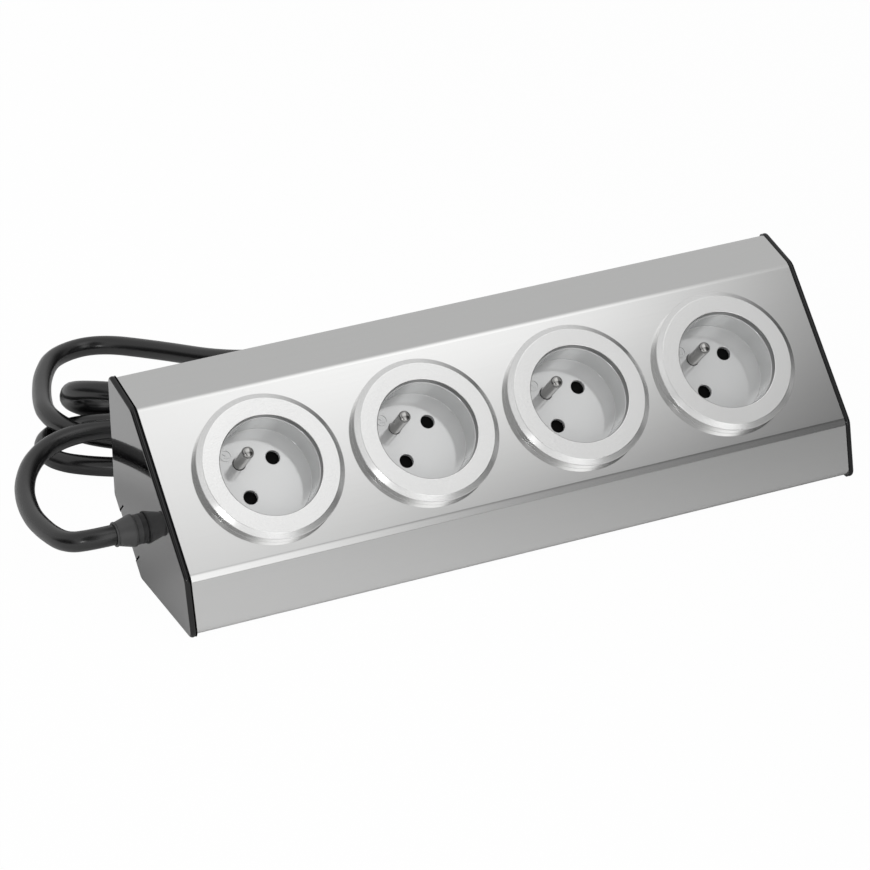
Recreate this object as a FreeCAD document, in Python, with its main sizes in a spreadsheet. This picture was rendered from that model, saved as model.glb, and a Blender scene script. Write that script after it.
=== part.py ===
"""Furniture power strip: a bent steel housing with four sockets and a mains lead.

Row frame in millimetres: X runs along the strip, Y away from the user towards the wall,
Z up. The origin is the middle of the footprint of the housing. The socket face slopes at
45 degrees, so the housing is drawn in a frame at the middle of that face: X along the
strip, Y up the slope and Z out of the face. Each socket has a frame of its own, turned in
the face so that its X runs through the two contact holes and its Y to the earth pin.
"""

import FreeCAD, Part
import math
import os
import Sketcher
from FreeCAD import Placement, Rotation, Vector

X_AXIS, Y_AXIS, Z_AXIS = Vector(1, 0, 0), Vector(0, 1, 0), Vector(0, 0, 1)

# Driving dimensions, in millimetres, degrees and counts
SIZES = {
    # housing
    "end_allowance": 20.0,
    "face_width": 69.3,
    "flange_bend": 34.0,
    "body_reach": 48.3,
    "cover_sheet": 1.0,
    "tray_sheet": 1.2,
    "bend_radius": 3.0,
    "return_length": 13.0,
    "corner_leg": 25.1,
    "tray_lip_drop": 4.5,
    "cover_screw_span": 220.0,
    "cover_screw_radius": 1.5,
    "cover_screw_head": 2.7,
    "cover_screw_length": 7.0,
    "fixing_span": 200.0,
    "fixing_hole_radius": 2.25,
    # end caps
    "cap_thickness": 2.5,
    "skirt_depth": 8.0,
    "skirt_wall": 1.6,
    "skirt_inset": 2.6,
    "tongue_half_width": 10.0,
    "tongue_recess": 1.8,
    "slit_width": 1.0,
    "slit_depth": 7.0,
    "catch_half_width": 6.0,
    "catch_length": 2.5,
    # sockets
    "socket_count": 4,
    "socket_pitch": 65.0,
    "socket_turn": 45.0,
    "bezel_outer_radius": 29.1,
    "bezel_bevel_width": 2.2,
    "bezel_height": 5.0,
    "bezel_bevel_drop": 1.3,
    "bezel_lip_depth": 2.9,
    "bezel_lip_width": 1.5,
    "bezel_wall": 1.5,
    "bezel_rounding": 0.35,
    "cup_radius": 19.65,
    "cup_wall": 1.6,
    "cup_rim_show": 0.35,
    "cup_flange_gap": 2.5,
    "recess_depth": 14.6,
    "cup_floor": 2.0,
    "floor_rounding": 0.8,
    "contact_pitch": 19.0,
    "contact_hole_radius": 2.8,
    "earth_offset": 10.0,
    "earth_pin_radius": 2.4,
    "earth_pin_drop": 0.1,
    "earth_pin_dome": 1.3,
    "earth_collar_radius": 3.4,
    "earth_collar_height": 1.0,
    "clip_ring_width": 3.75,
    "clip_ring_thickness": 1.2,
    "base_radius": 22.0,
    "base_wall": 1.5,
    "base_deck": 1.5,
    "base_depth": 17.9,
    "rear_cover_thickness": 1.5,
    "shutter_thickness": 2.4,
    "shutter_travel": 6.4,
    "shutter_aperture": 3.0,
    "shutter_aperture_offset": 6.4,
    "shutter_inner": 5.0,
    "shutter_outer": 14.0,
    "shutter_front": 10.5,
    "shutter_back": 4.0,
    "shutter_bridge": 5.5,
    "rail_width": 1.6,
    "contact_width": 7.0,
    "contact_gap": 4.4,
    "contact_leaf": 0.8,
    "contact_depth": 8.0,
    "contact_clear": 0.5,
    "terminal_width": 4.6,
    "terminal_spread": 8.0,
    "terminal_height": 3.8,
    "wire_radius": 1.25,
    "wire_pair": 3.8,
    "wire_grip": 2.6,
    "wire_bend": 4.0,
    "wire_drop": 4.5,
    "wire_run_drop": 4.5,
    "wire_lead": 7.0,
    "live_run": 2.5,
    "neutral_run": -13.0,
    "earth_run": 13.5,
    "core_circle": 1.6,
    "clearance": 0.3,
    "fit": 0.1,
    # earthing of the housing
    "stud_inset": 14.0,
    "stud_radius": 2.0,
    "stud_height": 10.0,
    "lug_radius": 4.4,
    "lug_thickness": 0.8,
    "lug_reach": 6.5,
    "lug_barrel": 2.4,
    "nut_flats": 7.0,
    "nut_height": 3.2,
    # lead
    "cable_radius": 4.0,
    "gland_back": 12.5,
    "gland_level": 22.5,
    "gland_shank_radius": 5.2,
    "gland_base_radius": 5.9,
    "gland_ring_radius": 6.4,
    "gland_nose_radius": 4.9,
    "gland_ring_place": 2.8,
    "gland_length": 10.1,
    "gland_lip": 0.7,
    "gland_nut_flats": 15.0,
    "gland_nut_length": 4.0,
    "sheath_inside": 20.0,
    "clamp_start": 11.0,
    "clamp_length": 8.0,
    "clamp_half_width": 10.0,
    "clamp_strap": 5.5,
    "clamp_screw_offset": 7.2,
    "clamp_screw_radius": 1.5,
    "clamp_screw_head": 2.6,
    "clamp_screw_length": 12.0,
    # plug
    "plug_place": 58.0,
    "plug_back": 62.0,
    "plug_flange_radius": 18.2,
    "plug_nose_radius": 17.6,
    "plug_nose_length": 15.0,
    "plug_flange_length": 6.0,
    "plug_grip_radius": 14.0,
    "plug_grip_length": 22.0,
    "plug_flat_half": 14.6,
    "plug_grip_flat": 10.5,
    "plug_shoulder": 4.0,
    "plug_rounding": 1.2,
    "relief_length": 26.0,
    "relief_end_radius": 5.2,
    "relief_root_radius": 8.0,
    "plug_pin_radius": 2.4,
    "plug_pin_length": 19.0,
    "plug_earth_width": 6.0,
    "plug_earth_sheet": 0.8,
}

# Sizes that follow from the ones above
DERIVED = {
    "cover_length": "=socket_count * socket_pitch + end_allowance",
    "bezel_flat_radius": "=bezel_outer_radius - bezel_bevel_width",
    "cup_flange_radius": "=bezel_outer_radius - cup_flange_gap",
    "clip_ring_radius": "=cup_radius + cup_wall + clip_ring_width",
    "stud_place": "=(socket_count * socket_pitch + end_allowance) / 2 - stud_inset",
}

doc = FreeCAD.newDocument("FurniturePowerStrip")
sheet = doc.addObject("Spreadsheet::Sheet", "Sizes")
for row, (alias, term) in enumerate({**SIZES, **DERIVED}.items(), start=1):
    sheet.set(f"A{row}", alias)
    sheet.set(f"B{row}", str(term))
    sheet.setAlias(f"B{row}", alias)
doc.recompute()


# Reading the sheet
def value(term):
    """A number as it is, or what an expression such as Sizes.cup_wall gives."""
    if isinstance(term, str):
        return float(sheet.evalExpression(term))
    return float(term)


def size(alias):
    """The number that the sheet holds under this alias."""
    return value(f"Sizes.{alias}")


# The pieces that are written, in order
pieces = []


def publish(obj, label):
    """Give a finished object its label and list it as a piece."""
    obj.Label = label
    pieces.append(obj)
    return obj


# Sketched features
def origin_plane(body, role):
    """The plane of this role at the body's own origin."""
    return next(item for item in body.Origin.OriginFeatures if item.Role == role)


def new_body(name, placement):
    """An empty body at its place."""
    body = doc.addObject("PartDesign::Body", name)
    body.Placement = placement
    return body


def new_sketch(body, role, shift):
    """An empty sketch on an origin plane, shifted along the plane's normal."""
    sketch = body.newObject("Sketcher::SketchObject", f"{body.Name}_sketch")
    sketch.AttachmentSupport = (origin_plane(body, role), [""])
    sketch.MapMode = "FlatFace"
    if isinstance(shift, str):
        sketch.setExpression("AttachmentOffset.Base.z", shift)
    else:
        sketch.AttachmentOffset = Placement(Vector(0, 0, shift), Rotation())
    return sketch


def bind(sketch, kind, members, term):
    """Add a dimension to a sketch, bound to the sheet where the term is an expression."""
    index = sketch.addConstraint(Sketcher.Constraint(kind, *members, value(term)))
    if isinstance(term, str):
        sketch.setExpression(f"Constraints[{index}]", term)


def add_polygon(sketch, corners):
    """Draw a closed outline whose corners are pairs of numbers or expressions."""
    points = [Vector(value(across), value(up), 0) for across, up in corners]
    count = len(points)
    first = sketch.GeometryCount
    lines = [Part.LineSegment(points[k], points[(k + 1) % count]) for k in range(count)]
    sketch.addGeometry(lines, False)
    for k in range(count):
        end, start = first + k, first + (k + 1) % count
        sketch.addConstraint(Sketcher.Constraint("Coincident", end, 2, start, 1))
    for k, (across, up) in enumerate(corners):
        bind(sketch, "DistanceX", (-1, 1, first + k, 1), across)
        bind(sketch, "DistanceY", (-1, 1, first + k, 1), up)


def add_circle(sketch, across, up, radius):
    """Draw a circle at a place given by numbers or expressions."""
    centre = Vector(value(across), value(up), 0)
    index = sketch.addGeometry(Part.Circle(centre, Z_AXIS, value(radius)), False)
    bind(sketch, "DistanceX", (-1, 1, index, 3), across)
    bind(sketch, "DistanceY", (-1, 1, index, 3), up)
    bind(sketch, "Radius", (index,), radius)


def rectangle(left, right, low, high):
    """The corners of a rectangle, from its four sides."""
    return [(left, low), (right, low), (right, high), (left, high)]


def pad(body, sketch, length, midplane=False, reverse=False):
    """Raise a sketch by a length."""
    feature = body.newObject("PartDesign::Pad", f"{body.Name}_pad")
    feature.Profile = sketch
    feature.setExpression("Length", length)
    feature.Midplane = midplane
    feature.Reversed = reverse
    sketch.Visibility = False
    return feature


def pocket(body, sketch, depth=None, reverse=False):
    """Cut a sketch to a depth, or through everything on both sides."""
    feature = body.newObject("PartDesign::Pocket", f"{body.Name}_pocket")
    feature.Profile = sketch
    if depth is None:
        feature.Type = "ThroughAll"
        feature.Midplane = True
    else:
        feature.setExpression("Length", depth)
        feature.Reversed = reverse
    return feature


def revolve(body, corners):
    """Turn an outline of radius and height about the body's Z axis."""
    sketch = new_sketch(body, "XZ_Plane", 0)
    add_polygon(sketch, corners)
    feature = body.newObject("PartDesign::Revolution", f"{body.Name}_revolution")
    feature.Profile = sketch
    feature.ReferenceAxis = (sketch, ["V_Axis"])
    feature.Angle = 360
    return feature


def round_edges(body, test, radius):
    """Round the edges of a body that pass a test."""
    doc.recompute()
    base = body.Tip
    names = [f"Edge{k}" for k, edge in enumerate(base.Shape.Edges, start=1) if test(edge)]
    feature = body.newObject("PartDesign::Fillet", f"{body.Name}_fillet")
    feature.Base = (base, names)
    feature.setExpression("Radius", radius)
    return feature


def is_circle_at(radius, height):
    """A test for the round edges of this radius at this height on the Z axis."""
    def test(edge):
        round_edge = edge.Curve.TypeId == "Part::GeomCircle"
        if not round_edge:
            return False
        centre = edge.Curve.Center
        on_axis = math.hypot(centre.x, centre.y) < 1e-4
        same_radius = abs(edge.Curve.Radius - value(radius)) < 1e-4
        return on_axis and same_radius and abs(centre.z - value(height)) < 1e-4
    return test


def is_long_edge_at(corners):
    """A test for edges along X that stand on one of these corners of a section."""
    def test(edge):
        ends = [vertex.Point for vertex in edge.Vertexes]
        if len(ends) < 2 or abs((ends[1] - ends[0]).normalize().x) < 0.999:
            return False
        return any(math.hypot(ends[0].y - y, ends[0].z - z) < 1e-3 for y, z in corners)
    return test


# Solid primitives
def solid(kind, name, placement, **sizes):
    """A primitive at its place, each of its sizes bound to the sheet."""
    obj = doc.addObject(f"Part::{kind}", name)
    obj.Placement = placement
    for key, term in sizes.items():
        if isinstance(term, str):
            obj.setExpression(key, term)
        else:
            setattr(obj, key, term)
    return obj


def at(x, y, z, rotation=Rotation()):
    """A placement from numbers or expressions."""
    return Placement(Vector(value(x), value(y), value(z)), rotation)


def block(name, frame, corner, lengths):
    """A box from its lowest corner and three lengths, in a frame."""
    length, width, height = lengths
    place = frame * at(*corner)
    return solid("Box", name, place, Length=length, Width=width, Height=height)


def rod(name, frame, base, radius, height, rotation=Rotation()):
    """A cylinder that rises from its base along Z of a frame, turned there."""
    return solid("Cylinder", name, frame * at(*base, rotation), Radius=radius, Height=height)


def join(name, members):
    """Several solids as one."""
    obj = doc.addObject("Part::MultiFuse", name)
    obj.Shapes = members
    return obj


def drill(name, base, tools):
    """A solid less the tools."""
    obj = doc.addObject("Part::Cut", name)
    obj.Base = base
    obj.Tool = tools[0] if len(tools) == 1 else join(f"{name}_tools", tools)
    return obj


def group(name, members):
    """Separate solids that share one node."""
    obj = doc.addObject("Part::Compound", name)
    obj.Links = members
    return obj


# Section of the housing, as height out of the face over distance up the slope
def slope_point(back, level):
    """A point behind and above the face centre, in the frame of the face."""
    return ((back + level) / math.sqrt(2), (level - back) / math.sqrt(2))


def flange_end(reach):
    """Where the upper flange meets the back plane at this reach from the face centre."""
    half = size("face_width") / 2
    bend = math.radians(size("flange_bend"))
    run = (reach * math.sqrt(2) - half) / (math.cos(bend) + math.sin(bend))
    return (half + run * math.cos(bend), -run * math.sin(bend))


def mirror(points):
    """The same points on the other side of the slope, in the opposite order."""
    return [(-across, up) for across, up in reversed(points)]


def inset(points, distance, closed=True):
    """Corners of an outline, walked clockwise, moved inwards by a distance."""
    count = len(points)
    moved = []
    for k, (x, y) in enumerate(points):
        normals = []
        for start, end in ((k - 1, k), (k, k + 1)):
            if closed or (start >= 0 and end < count):
                (x0, y0), (x1, y1) = points[start % count], points[end % count]
                run = math.hypot(x1 - x0, y1 - y0)
                normals.append(((y1 - y0) / run, (x0 - x1) / run))
        across = sum(normal[0] for normal in normals)
        up = sum(normal[1] for normal in normals)
        scale = distance * len(normals) / (across * across + up * up)
        moved.append((x + across * scale, y + up * scale))
    return moved


REACH = size("body_reach")
TRAY_INNER = REACH - size("tray_sheet")
SIDE = REACH - size("corner_leg")
FLANGE_RISE = math.radians(45 - size("flange_bend"))
FACE_CORNER = (size("face_width") / 2, 0.0)
CAP_CORNER = flange_end(REACH)
COVER_CORNER = flange_end(TRAY_INNER)
BACK_CORNER = slope_point(REACH, -SIDE)
CAP_OUTLINE = mirror([FACE_CORNER, CAP_CORNER, BACK_CORNER]) + [
    FACE_CORNER, CAP_CORNER, BACK_CORNER]


def level_of(point):
    """The height of a section point above the face centre."""
    return (point[0] + point[1]) / math.sqrt(2)


def crest():
    """How far the rounded upper corner of the caps stands above the face centre."""
    bend = size("bend_radius")
    return level_of(CAP_CORNER) + bend - bend * (1 + math.sin(FLANGE_RISE)) / math.cos(FLANGE_RISE)


# The overall footprint is centred on the origin and stands on the ground
FACE_BACK = (crest() - REACH) / 2
FACE_LEVEL = REACH
FACE = Placement(Vector(0, FACE_BACK, FACE_LEVEL), Rotation(X_AXIS, 45))
FROM_BACK = Rotation(X_AXIS, 45)
FROM_BELOW = Rotation(X_AXIS, -45)
LIP_LEVEL = level_of(COVER_CORNER) - size("tray_lip_drop")
SCREW_LEVEL = (LIP_LEVEL + level_of(COVER_CORNER) - size("return_length")) / 2
SPAN_ENDS = (-0.5, 0.5)


def wall_points(reach, level):
    """A spot on the back wall and its twin on the bottom wall, with their directions in."""
    back, up = slope_point(reach, level)
    return [((back, up), FROM_BACK), ((-back, up), FROM_BELOW)]


def screw_places():
    """Where the screws of the cover sit: in the frame of the face, with Z pointing in."""
    places = []
    for share in (-0.5, 0.0, 0.5):
        along = share * size("cover_screw_span")
        for (across, up), turn in wall_points(REACH, SCREW_LEVEL):
            places.append(at(along, across, up, turn))
    return places


def screw_holes(name):
    """Plain holes for the shanks of the cover screws."""
    radius = "Sizes.cover_screw_radius + Sizes.fit"
    holes = []
    for k, place in enumerate(screw_places()):
        drop = place * at(0, 0, "-Sizes.tray_sheet")
        holes.append(rod(f"{name}_hole_{k}", FACE * drop, (0, 0, 0), radius,
                         "4 * Sizes.tray_sheet"))
    return holes


def socket_places():
    """How far along the strip each socket sits."""
    count = int(size("socket_count"))
    return [(k - (count - 1) / 2) * size("socket_pitch") for k in range(count)]


def bend_edges(points):
    """A test for the long edges at the inner corners of an open section."""
    return is_long_edge_at(points[1:-1])


def make_cover():
    """Steel cover: face, two sloping flanges and two returns, bent from one sheet."""
    return_end = level_of(COVER_CORNER) - size("return_length")
    half = [FACE_CORNER, COVER_CORNER, slope_point(TRAY_INNER, return_end)]
    outer = mirror(half) + half
    inner = inset(outer, size("cover_sheet"), closed=False)
    body = new_body("cover_body", FACE)
    section = new_sketch(body, "YZ_Plane", 0)
    add_polygon(section, outer + inner[::-1])
    pad(body, section, "Sizes.cover_length", midplane=True)
    round_edges(body, bend_edges(outer), "Sizes.bend_radius")
    round_edges(body, bend_edges(inner), "Sizes.bend_radius - Sizes.cover_sheet")
    openings = new_sketch(body, "XY_Plane", 0)
    for along in socket_places():
        add_circle(openings, along, 0, "Sizes.cup_radius + Sizes.cup_wall + 4 * Sizes.clearance")
    pocket(body, openings)
    return publish(drill("cover_cut", body, screw_holes("cover")), "cover")


def make_base_tray():
    """Steel tray: back wall, sloping wall and bottom wall, with the fixing holes."""
    half = [slope_point(REACH, LIP_LEVEL), BACK_CORNER]
    outer = half + mirror(half)
    inner = inset(outer, size("tray_sheet"), closed=False)
    body = new_body("tray_body", FACE)
    section = new_sketch(body, "YZ_Plane", 0)
    add_polygon(section, outer + inner[::-1])
    pad(body, section, "Sizes.cover_length", midplane=True)
    round_edges(body, bend_edges(outer), "Sizes.bend_radius")
    round_edges(body, bend_edges(inner), "Sizes.bend_radius - Sizes.tray_sheet")
    windows = new_sketch(body, "XY_Plane", 0)
    wide = "Sizes.catch_half_width + Sizes.clearance"
    near = "Sizes.cover_length / 2 - Sizes.skirt_depth - Sizes.clearance"
    far = "Sizes.cover_length / 2 - Sizes.skirt_depth + Sizes.catch_length + Sizes.clearance"
    add_polygon(windows, rectangle(near, far, f"-({wide})", wide))
    add_polygon(windows, rectangle(f"-({far})", f"-({near})", f"-({wide})", wide))
    pocket(body, windows)
    tools = screw_holes("tray")
    for k, place in enumerate(screw_places()):
        sink = solid("Cone", f"tray_sink_{k}", FACE * place,
                     Radius1="Sizes.cover_screw_head + Sizes.fit",
                     Radius2="Sizes.cover_screw_radius + Sizes.fit", Height="Sizes.tray_sheet")
        tools.append(sink)
    for k, share in enumerate(SPAN_ENDS):
        along = share * size("fixing_span")
        for (across, up), turn in wall_points(REACH, 0):
            place = FACE * at(along, across, up, turn) * at(0, 0, "-Sizes.tray_sheet")
            tools.append(rod(f"tray_fixing_{k}", place, (0, 0, 0), "Sizes.fixing_hole_radius",
                             "3 * Sizes.tray_sheet"))
    return publish(drill("tray_cut", body, tools), "base_tray")


def make_cover_screws():
    """Six countersunk screws through the tray into the returns of the cover."""
    screws = []
    for k, place in enumerate(screw_places()):
        head = solid("Cone", f"cover_screw_head_{k}", FACE * place,
                     Radius1="Sizes.cover_screw_head", Radius2="Sizes.cover_screw_radius",
                     Height="Sizes.tray_sheet")
        shank = rod(f"cover_screw_shank_{k}", FACE * place, (0, 0, "Sizes.tray_sheet"),
                    "Sizes.cover_screw_radius", "Sizes.cover_screw_length")
        screws.append(join(f"cover_screw_{k}", [head, shank]))
    return publish(group("cover_screws_group", screws), "cover_screws")


def make_end_cap(label, frame, with_gland):
    """Moulded end cap: plate, skirt and snap tongue, seen from its inner face."""
    body = new_body(f"{label}_body", frame)
    plate = new_sketch(body, "YZ_Plane", 0)
    add_polygon(plate, CAP_OUTLINE)
    pad(body, plate, "Sizes.cap_thickness", reverse=True)
    round_edges(body, is_long_edge_at(CAP_OUTLINE), "Sizes.bend_radius")
    outer = inset(CAP_OUTLINE, size("skirt_inset"))
    inner = inset(outer, size("skirt_wall"))
    skirt = new_sketch(body, "YZ_Plane", 0)
    add_polygon(skirt, outer)
    add_polygon(skirt, inner)
    pad(body, skirt, "Sizes.skirt_depth")
    edge = BACK_CORNER[1]
    catch = new_sketch(body, "YZ_Plane", "Sizes.skirt_depth - Sizes.catch_length")
    top = edge + size("skirt_inset") + size("fit")
    add_polygon(catch, rectangle("-Sizes.catch_half_width", "Sizes.catch_half_width",
                                 edge + size("tray_sheet") / 2, top))
    pad(body, catch, "Sizes.catch_length")
    slits = new_sketch(body, "YZ_Plane", 0)
    low = edge - size("slit_width")
    high = edge + size("slit_depth")
    inside = "Sizes.tongue_half_width"
    outside = "Sizes.tongue_half_width + Sizes.slit_width"
    add_polygon(slits, rectangle(inside, outside, low, high))
    add_polygon(slits, rectangle(f"-({outside})", f"-{inside}", low, high))
    pocket(body, slits)
    recess = new_sketch(body, "YZ_Plane", 0)
    add_polygon(recess, rectangle("-Sizes.tongue_half_width - Sizes.slit_width / 2",
                                  "Sizes.tongue_half_width + Sizes.slit_width / 2",
                                  low, edge + size("tongue_recess")))
    pocket(body, recess, "Sizes.cap_thickness")
    if not with_gland:
        return publish(body, label)
    hole = rod(f"{label}_gland_hole", GLAND, (0, 0, "-Sizes.cap_thickness - Sizes.clearance"),
               "Sizes.gland_shank_radius + Sizes.fit", "2 * Sizes.cap_thickness")
    return publish(drill(f"{label}_cut", body, [hole]), label)


# Frame of the gland: Z points out of the left cap, along the lead
GLAND = Placement(
    Vector(-size("cover_length") / 2 - size("cap_thickness"), size("gland_back"), size("gland_level")),
    Rotation(Y_AXIS, -90))
HALF_LENGTH = size("cover_length") / 2
LEFT_CAP = FACE * at(-HALF_LENGTH, 0, 0)
RIGHT_CAP = FACE * at(HALF_LENGTH, 0, 0, Rotation(Z_AXIS, 180))

make_cover()
make_base_tray()
make_cover_screws()
make_end_cap("end_cap_left", LEFT_CAP, True)
make_end_cap("end_cap_right", RIGHT_CAP, False)


# Heights on the axis of a socket, as expressions on the sheet
LIP_UNDER = "(Sizes.bezel_height - Sizes.bezel_lip_depth)"
FLOOR_TOP = "(Sizes.bezel_height - Sizes.recess_depth)"
FLOOR_UNDER = "(Sizes.bezel_height - Sizes.recess_depth - Sizes.cup_floor)"
CUP_OUTER = "(Sizes.cup_radius + Sizes.cup_wall)"
BEZEL_INNER = "(Sizes.cup_radius + Sizes.cup_rim_show)"
CAVITY = "(Sizes.shutter_thickness + 2 * Sizes.clearance)"
DECK_TOP = f"({FLOOR_UNDER} - {CAVITY})"
DECK_UNDER = f"({DECK_TOP} - Sizes.base_deck)"
BASE_UNDER = f"({FLOOR_UNDER} - Sizes.base_depth)"
CHAMBER = "(Sizes.base_radius - Sizes.base_wall)"
CONTACT_TOP = f"({DECK_UNDER} - Sizes.contact_clear)"
TERMINAL_UNDER = f"({BASE_UNDER} + Sizes.clearance)"
TERMINAL_TOP = f"({TERMINAL_UNDER} + Sizes.terminal_height)"
HALF_PITCH = "Sizes.contact_pitch / 2"


def make_bezel(label, frame):
    """Raised ring round a socket, with a bevelled rim and a lip that hides the cup's edge."""
    wall_top = "Sizes.bezel_height - Sizes.bezel_bevel_drop"
    skin_under = "Sizes.bezel_height - Sizes.bezel_wall"
    lip_outer = f"{BEZEL_INNER} + Sizes.bezel_lip_width"
    skirt_inner = "Sizes.bezel_outer_radius - Sizes.bezel_wall"
    body = new_body(f"{label}_body", frame)
    revolve(body, [
        ("Sizes.bezel_outer_radius", 0),
        ("Sizes.bezel_outer_radius", wall_top),
        ("Sizes.bezel_flat_radius", "Sizes.bezel_height"),
        (BEZEL_INNER, "Sizes.bezel_height"),
        (BEZEL_INNER, LIP_UNDER),
        (lip_outer, LIP_UNDER),
        (lip_outer, skin_under),
        ("Sizes.bezel_flat_radius", skin_under),
        (skirt_inner, f"{wall_top} - Sizes.bezel_wall / 2"),
        (skirt_inner, 0),
    ])
    tests = [is_circle_at("Sizes.bezel_outer_radius", wall_top),
             is_circle_at("Sizes.bezel_flat_radius", "Sizes.bezel_height"),
             is_circle_at(BEZEL_INNER, "Sizes.bezel_height")]
    round_edges(body, lambda edge: any(test(edge) for test in tests), "Sizes.bezel_rounding")
    return publish(body, label)


def make_socket_cup(label, frame):
    """Round recess with a flange on the face, two contact holes and the hole of the pin."""
    body = new_body(f"{label}_body", frame)
    revolve(body, [
        (0, FLOOR_UNDER),
        (CUP_OUTER, FLOOR_UNDER),
        (CUP_OUTER, 0),
        ("Sizes.cup_flange_radius", 0),
        ("Sizes.cup_flange_radius", LIP_UNDER),
        ("Sizes.cup_radius", LIP_UNDER),
        ("Sizes.cup_radius", FLOOR_TOP),
        (0, FLOOR_TOP),
    ])
    round_edges(body, is_circle_at("Sizes.cup_radius", FLOOR_TOP), "Sizes.floor_rounding")
    holes = new_sketch(body, "XY_Plane", 0)
    add_circle(holes, HALF_PITCH, 0, "Sizes.contact_hole_radius")
    add_circle(holes, f"-{HALF_PITCH}", 0, "Sizes.contact_hole_radius")
    add_circle(holes, 0, "Sizes.earth_offset", "Sizes.earth_pin_radius + Sizes.fit")
    pocket(body, holes)
    return publish(body, label)


def make_retaining_clip(label, frame):
    """Flat spring ring that holds the cup under the face sheet."""
    under = "-Sizes.cover_sheet - Sizes.clip_ring_thickness"
    ring = rod(f"{label}_disc", frame, (0, 0, under), "Sizes.clip_ring_radius",
               "Sizes.clip_ring_thickness")
    hole = rod(f"{label}_hole", frame, (0, 0, f"{under} - 1"), f"{CUP_OUTER} + Sizes.fit",
               "Sizes.clip_ring_thickness + 2")
    return publish(drill(f"{label}_cut", ring, [hole]), label)


def make_shutter(label, frame):
    """Sliding plate that covers the contact holes, with two lobes joined by a bridge."""
    front = "-Sizes.shutter_front"
    body = new_body(f"{label}_body", frame)
    outline = new_sketch(body, "XY_Plane", f"{DECK_TOP} + Sizes.clearance")
    add_polygon(outline, [
        ("-Sizes.shutter_outer", front),
        ("Sizes.shutter_outer", front),
        ("Sizes.shutter_outer", "Sizes.shutter_back"),
        ("Sizes.shutter_inner", "Sizes.shutter_back"),
        ("Sizes.shutter_inner", f"{front} + Sizes.shutter_bridge"),
        ("-Sizes.shutter_inner", f"{front} + Sizes.shutter_bridge"),
        ("-Sizes.shutter_inner", "Sizes.shutter_back"),
        ("-Sizes.shutter_outer", "Sizes.shutter_back"),
    ])
    pad(body, outline, "Sizes.shutter_thickness")
    holes = new_sketch(body, "XY_Plane", 0)
    add_circle(holes, HALF_PITCH, "-Sizes.shutter_aperture_offset", "Sizes.shutter_aperture")
    add_circle(holes, f"-{HALF_PITCH}", "-Sizes.shutter_aperture_offset",
               "Sizes.shutter_aperture")
    pocket(body, holes)
    return publish(body, label)


def make_socket_base(label, frame):
    """Insulating body behind the cup: shutter cavity with rails, deck and contact chamber."""
    body = new_body(f"{label}_body", frame)
    can = new_sketch(body, "XY_Plane", BASE_UNDER)
    add_circle(can, 0, 0, "Sizes.base_radius")
    pad(body, can, "Sizes.base_depth")
    cavity = new_sketch(body, "XY_Plane", FLOOR_UNDER)
    add_circle(cavity, 0, 0, CHAMBER)
    pocket(body, cavity, CAVITY)
    chamber = new_sketch(body, "XY_Plane", BASE_UNDER)
    add_circle(chamber, 0, 0, CHAMBER)
    pocket(body, chamber, f"Sizes.base_depth - {CAVITY} - Sizes.base_deck", reverse=True)
    rails = new_sketch(body, "XY_Plane", DECK_TOP)
    near = "Sizes.shutter_outer + Sizes.clearance"
    far = f"{near} + Sizes.rail_width"
    add_polygon(rails, rectangle(near, far, "-Sizes.shutter_front", "Sizes.shutter_front"))
    add_polygon(rails, rectangle(f"-({far})", f"-({near})", "-Sizes.shutter_front",
                                 "Sizes.shutter_front"))
    pad(body, rails, CAVITY)
    holes = new_sketch(body, "XY_Plane", 0)
    radius = "Sizes.contact_hole_radius + Sizes.clearance"
    add_circle(holes, HALF_PITCH, 0, radius)
    add_circle(holes, f"-{HALF_PITCH}", 0, radius)
    add_circle(holes, 0, "Sizes.earth_offset", "Sizes.earth_pin_radius + Sizes.fit")
    pocket(body, holes)
    return publish(body, label)


def terminal_bores(name, frame, centre, turn):
    """The two blind bores that grip the wires of one terminal."""
    x, y = centre
    bores = []
    for k, sign in enumerate((-1, 1)):
        spot = frame * at(x, y, TERMINAL_UNDER, Rotation(Z_AXIS, turn))
        spot = spot * at(0, f"{sign} * Sizes.wire_pair / 2", "-Sizes.fit")
        bores.append(rod(f"{name}_bore_{k}", spot, (0, 0, 0), "Sizes.wire_radius + Sizes.fit / 2",
                         "Sizes.wire_grip + Sizes.fit"))
    return bores


def make_contact(name, frame, sign):
    """Brass clip of one pole: two leaves on a web, and a push-in terminal below it."""
    x = f"{sign} * {HALF_PITCH}"
    half_gap = "Sizes.contact_gap / 2"
    depth = f"{CONTACT_TOP} - {TERMINAL_TOP}"
    corner = (f"{x} - Sizes.contact_width / 2", f"-({half_gap} + Sizes.contact_leaf)",
              TERMINAL_TOP)
    channel = block(f"{name}_channel", frame, corner,
                    ("Sizes.contact_width", "Sizes.contact_gap + 2 * Sizes.contact_leaf", depth))
    gap_corner = (f"{x} - Sizes.contact_width / 2 - 1", f"-{half_gap}",
                  f"{TERMINAL_TOP} + Sizes.contact_leaf")
    gap = block(f"{name}_gap", frame, gap_corner,
                ("Sizes.contact_width + 2", "Sizes.contact_gap", depth))
    clip = drill(f"{name}_clip", channel, [gap])
    foot_corner = (f"{x} - Sizes.terminal_width / 2", "-Sizes.terminal_spread / 2",
                   TERMINAL_UNDER)
    foot = block(f"{name}_foot", frame, foot_corner,
                 ("Sizes.terminal_width", "Sizes.terminal_spread", "Sizes.terminal_height"))
    bored = drill(f"{name}_terminal", foot, terminal_bores(name, frame, (value(x), 0), 0))
    return join(name, [clip, bored])


def make_contact_clips(label, frame):
    """The two line contacts of a socket."""
    poles = [make_contact(f"{label}_pole_{k}", frame, sign) for k, sign in enumerate((-1, 1))]
    return publish(group(f"{label}_pair", poles), label)


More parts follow.
